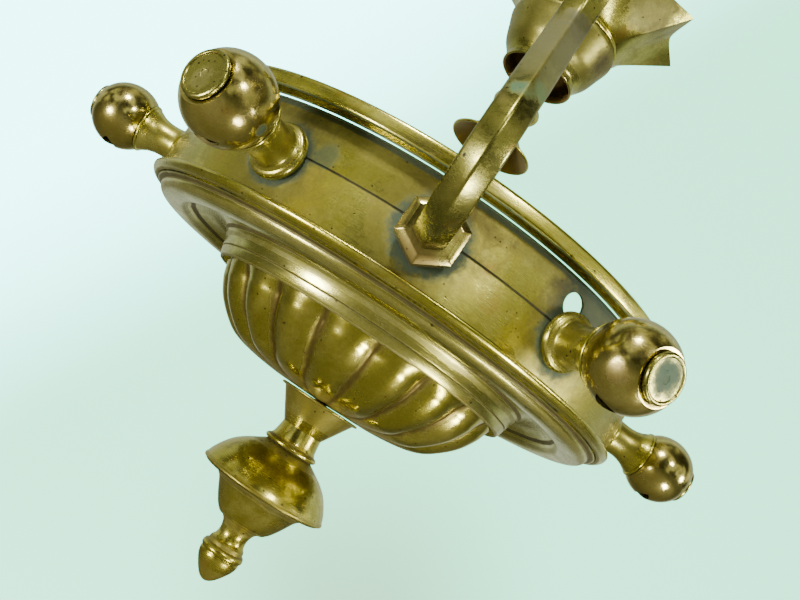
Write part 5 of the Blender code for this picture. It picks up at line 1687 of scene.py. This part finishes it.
class CHANDELIER_OT_bowl(bpy.types.Operator):
    """Bowl with meridian lobes"""

    bl_idname = "chandelier.bowl"
    bl_label = "Fluted bowl"
    bl_options = {"REGISTER", "UNDO"}

    def execute(self, context):
        make_bowl()
        return {"FINISHED"}


class CHANDELIER_OT_finial(bpy.types.Operator):
    """Neck, dome, cup and acorn"""

    bl_idname = "chandelier.finial"
    bl_label = "Finial"
    bl_options = {"REGISTER", "UNDO"}

    def execute(self, context):
        make_finial()
        return {"FINISHED"}


class CHANDELIER_OT_outlets(bpy.types.Operator):
    """Necks, slotted balls, caps and lock nuts"""

    bl_idname = "chandelier.outlets"
    bl_label = "Ball outlets"
    bl_options = {"REGISTER", "UNDO"}

    def execute(self, context):
        make_outlets()
        return {"FINISHED"}


class CHANDELIER_OT_seats(bpy.types.Operator):
    """Nuts and open nipples of the arm seats"""

    bl_idname = "chandelier.seats"
    bl_label = "Arm seats"
    bl_options = {"REGISTER", "UNDO"}

    def execute(self, context):
        make_seats()
        return {"FINISHED"}


class CHANDELIER_OT_arm(bpy.types.Operator):
    """Bent six-sided arm tube"""

    bl_idname = "chandelier.arm"
    bl_label = "Arm"
    bl_options = {"REGISTER", "UNDO"}

    def execute(self, context):
        make_arm()
        return {"FINISHED"}


class CHANDELIER_OT_cock(bpy.types.Operator):
    """Cock, turning key, screw and end nipple"""

    bl_idname = "chandelier.cock"
    bl_label = "Gas cock"
    bl_options = {"REGISTER", "UNDO"}

    def execute(self, context):
        make_cock()
        return {"FINISHED"}


class CHANDELIER_OT_inside(bpy.types.Operator):
    """Hub, feed pipes, tie rod and crown nut"""

    bl_idname = "chandelier.inside"
    bl_label = "Inner fittings"
    bl_options = {"REGISTER", "UNDO"}

    def execute(self, context):
        make_inside()
        return {"FINISHED"}


OPERATORS = (
    CHANDELIER_OT_stage, CHANDELIER_OT_stem, CHANDELIER_OT_bells, CHANDELIER_OT_crown,
    CHANDELIER_OT_drum, CHANDELIER_OT_pan, CHANDELIER_OT_bowl, CHANDELIER_OT_finial,
    CHANDELIER_OT_outlets, CHANDELIER_OT_seats, CHANDELIER_OT_arm, CHANDELIER_OT_cock,
    CHANDELIER_OT_inside,
)


class CHANDELIER_PT_build(bpy.types.Panel):
    """Sizes, finishes and build steps of the chandelier"""

    bl_idname = "CHANDELIER_PT_build"
    bl_label = "Gas Chandelier"
    bl_space_type = "VIEW_3D"
    bl_region_type = "UI"
    bl_category = "Chandelier"

    def draw(self, context):
        column = self.layout.column(align=True)
        for name in ChandelierSizes.__annotations__:
            column.prop(context.scene.chandelier_sizes, name)
        for name in ChandelierFinish.__annotations__:
            column.prop(context.scene.chandelier_finish, name)
        for made in OPERATORS:
            column.operator(made.bl_idname)


CLASSES = (ChandelierSizes, ChandelierFinish, *OPERATORS, CHANDELIER_PT_build)


def register():
    for made in CLASSES:
        bpy.utils.register_class(made)
    bpy.types.Scene.chandelier_sizes = bpy.props.PointerProperty(type=ChandelierSizes)
    bpy.types.Scene.chandelier_finish = bpy.props.PointerProperty(type=ChandelierFinish)


def unregister():
    del bpy.types.Scene.chandelier_finish
    del bpy.types.Scene.chandelier_sizes
    for made in reversed(CLASSES):
        bpy.utils.unregister_class(made)


def main():
    register()
    for made in OPERATORS:
        step = getattr(bpy.ops.chandelier, made.bl_idname.split(".")[1])
        if step() != {"FINISHED"}:
            raise RuntimeError(made.bl_label + " was not finished")


if __name__ == "__main__":
    main()
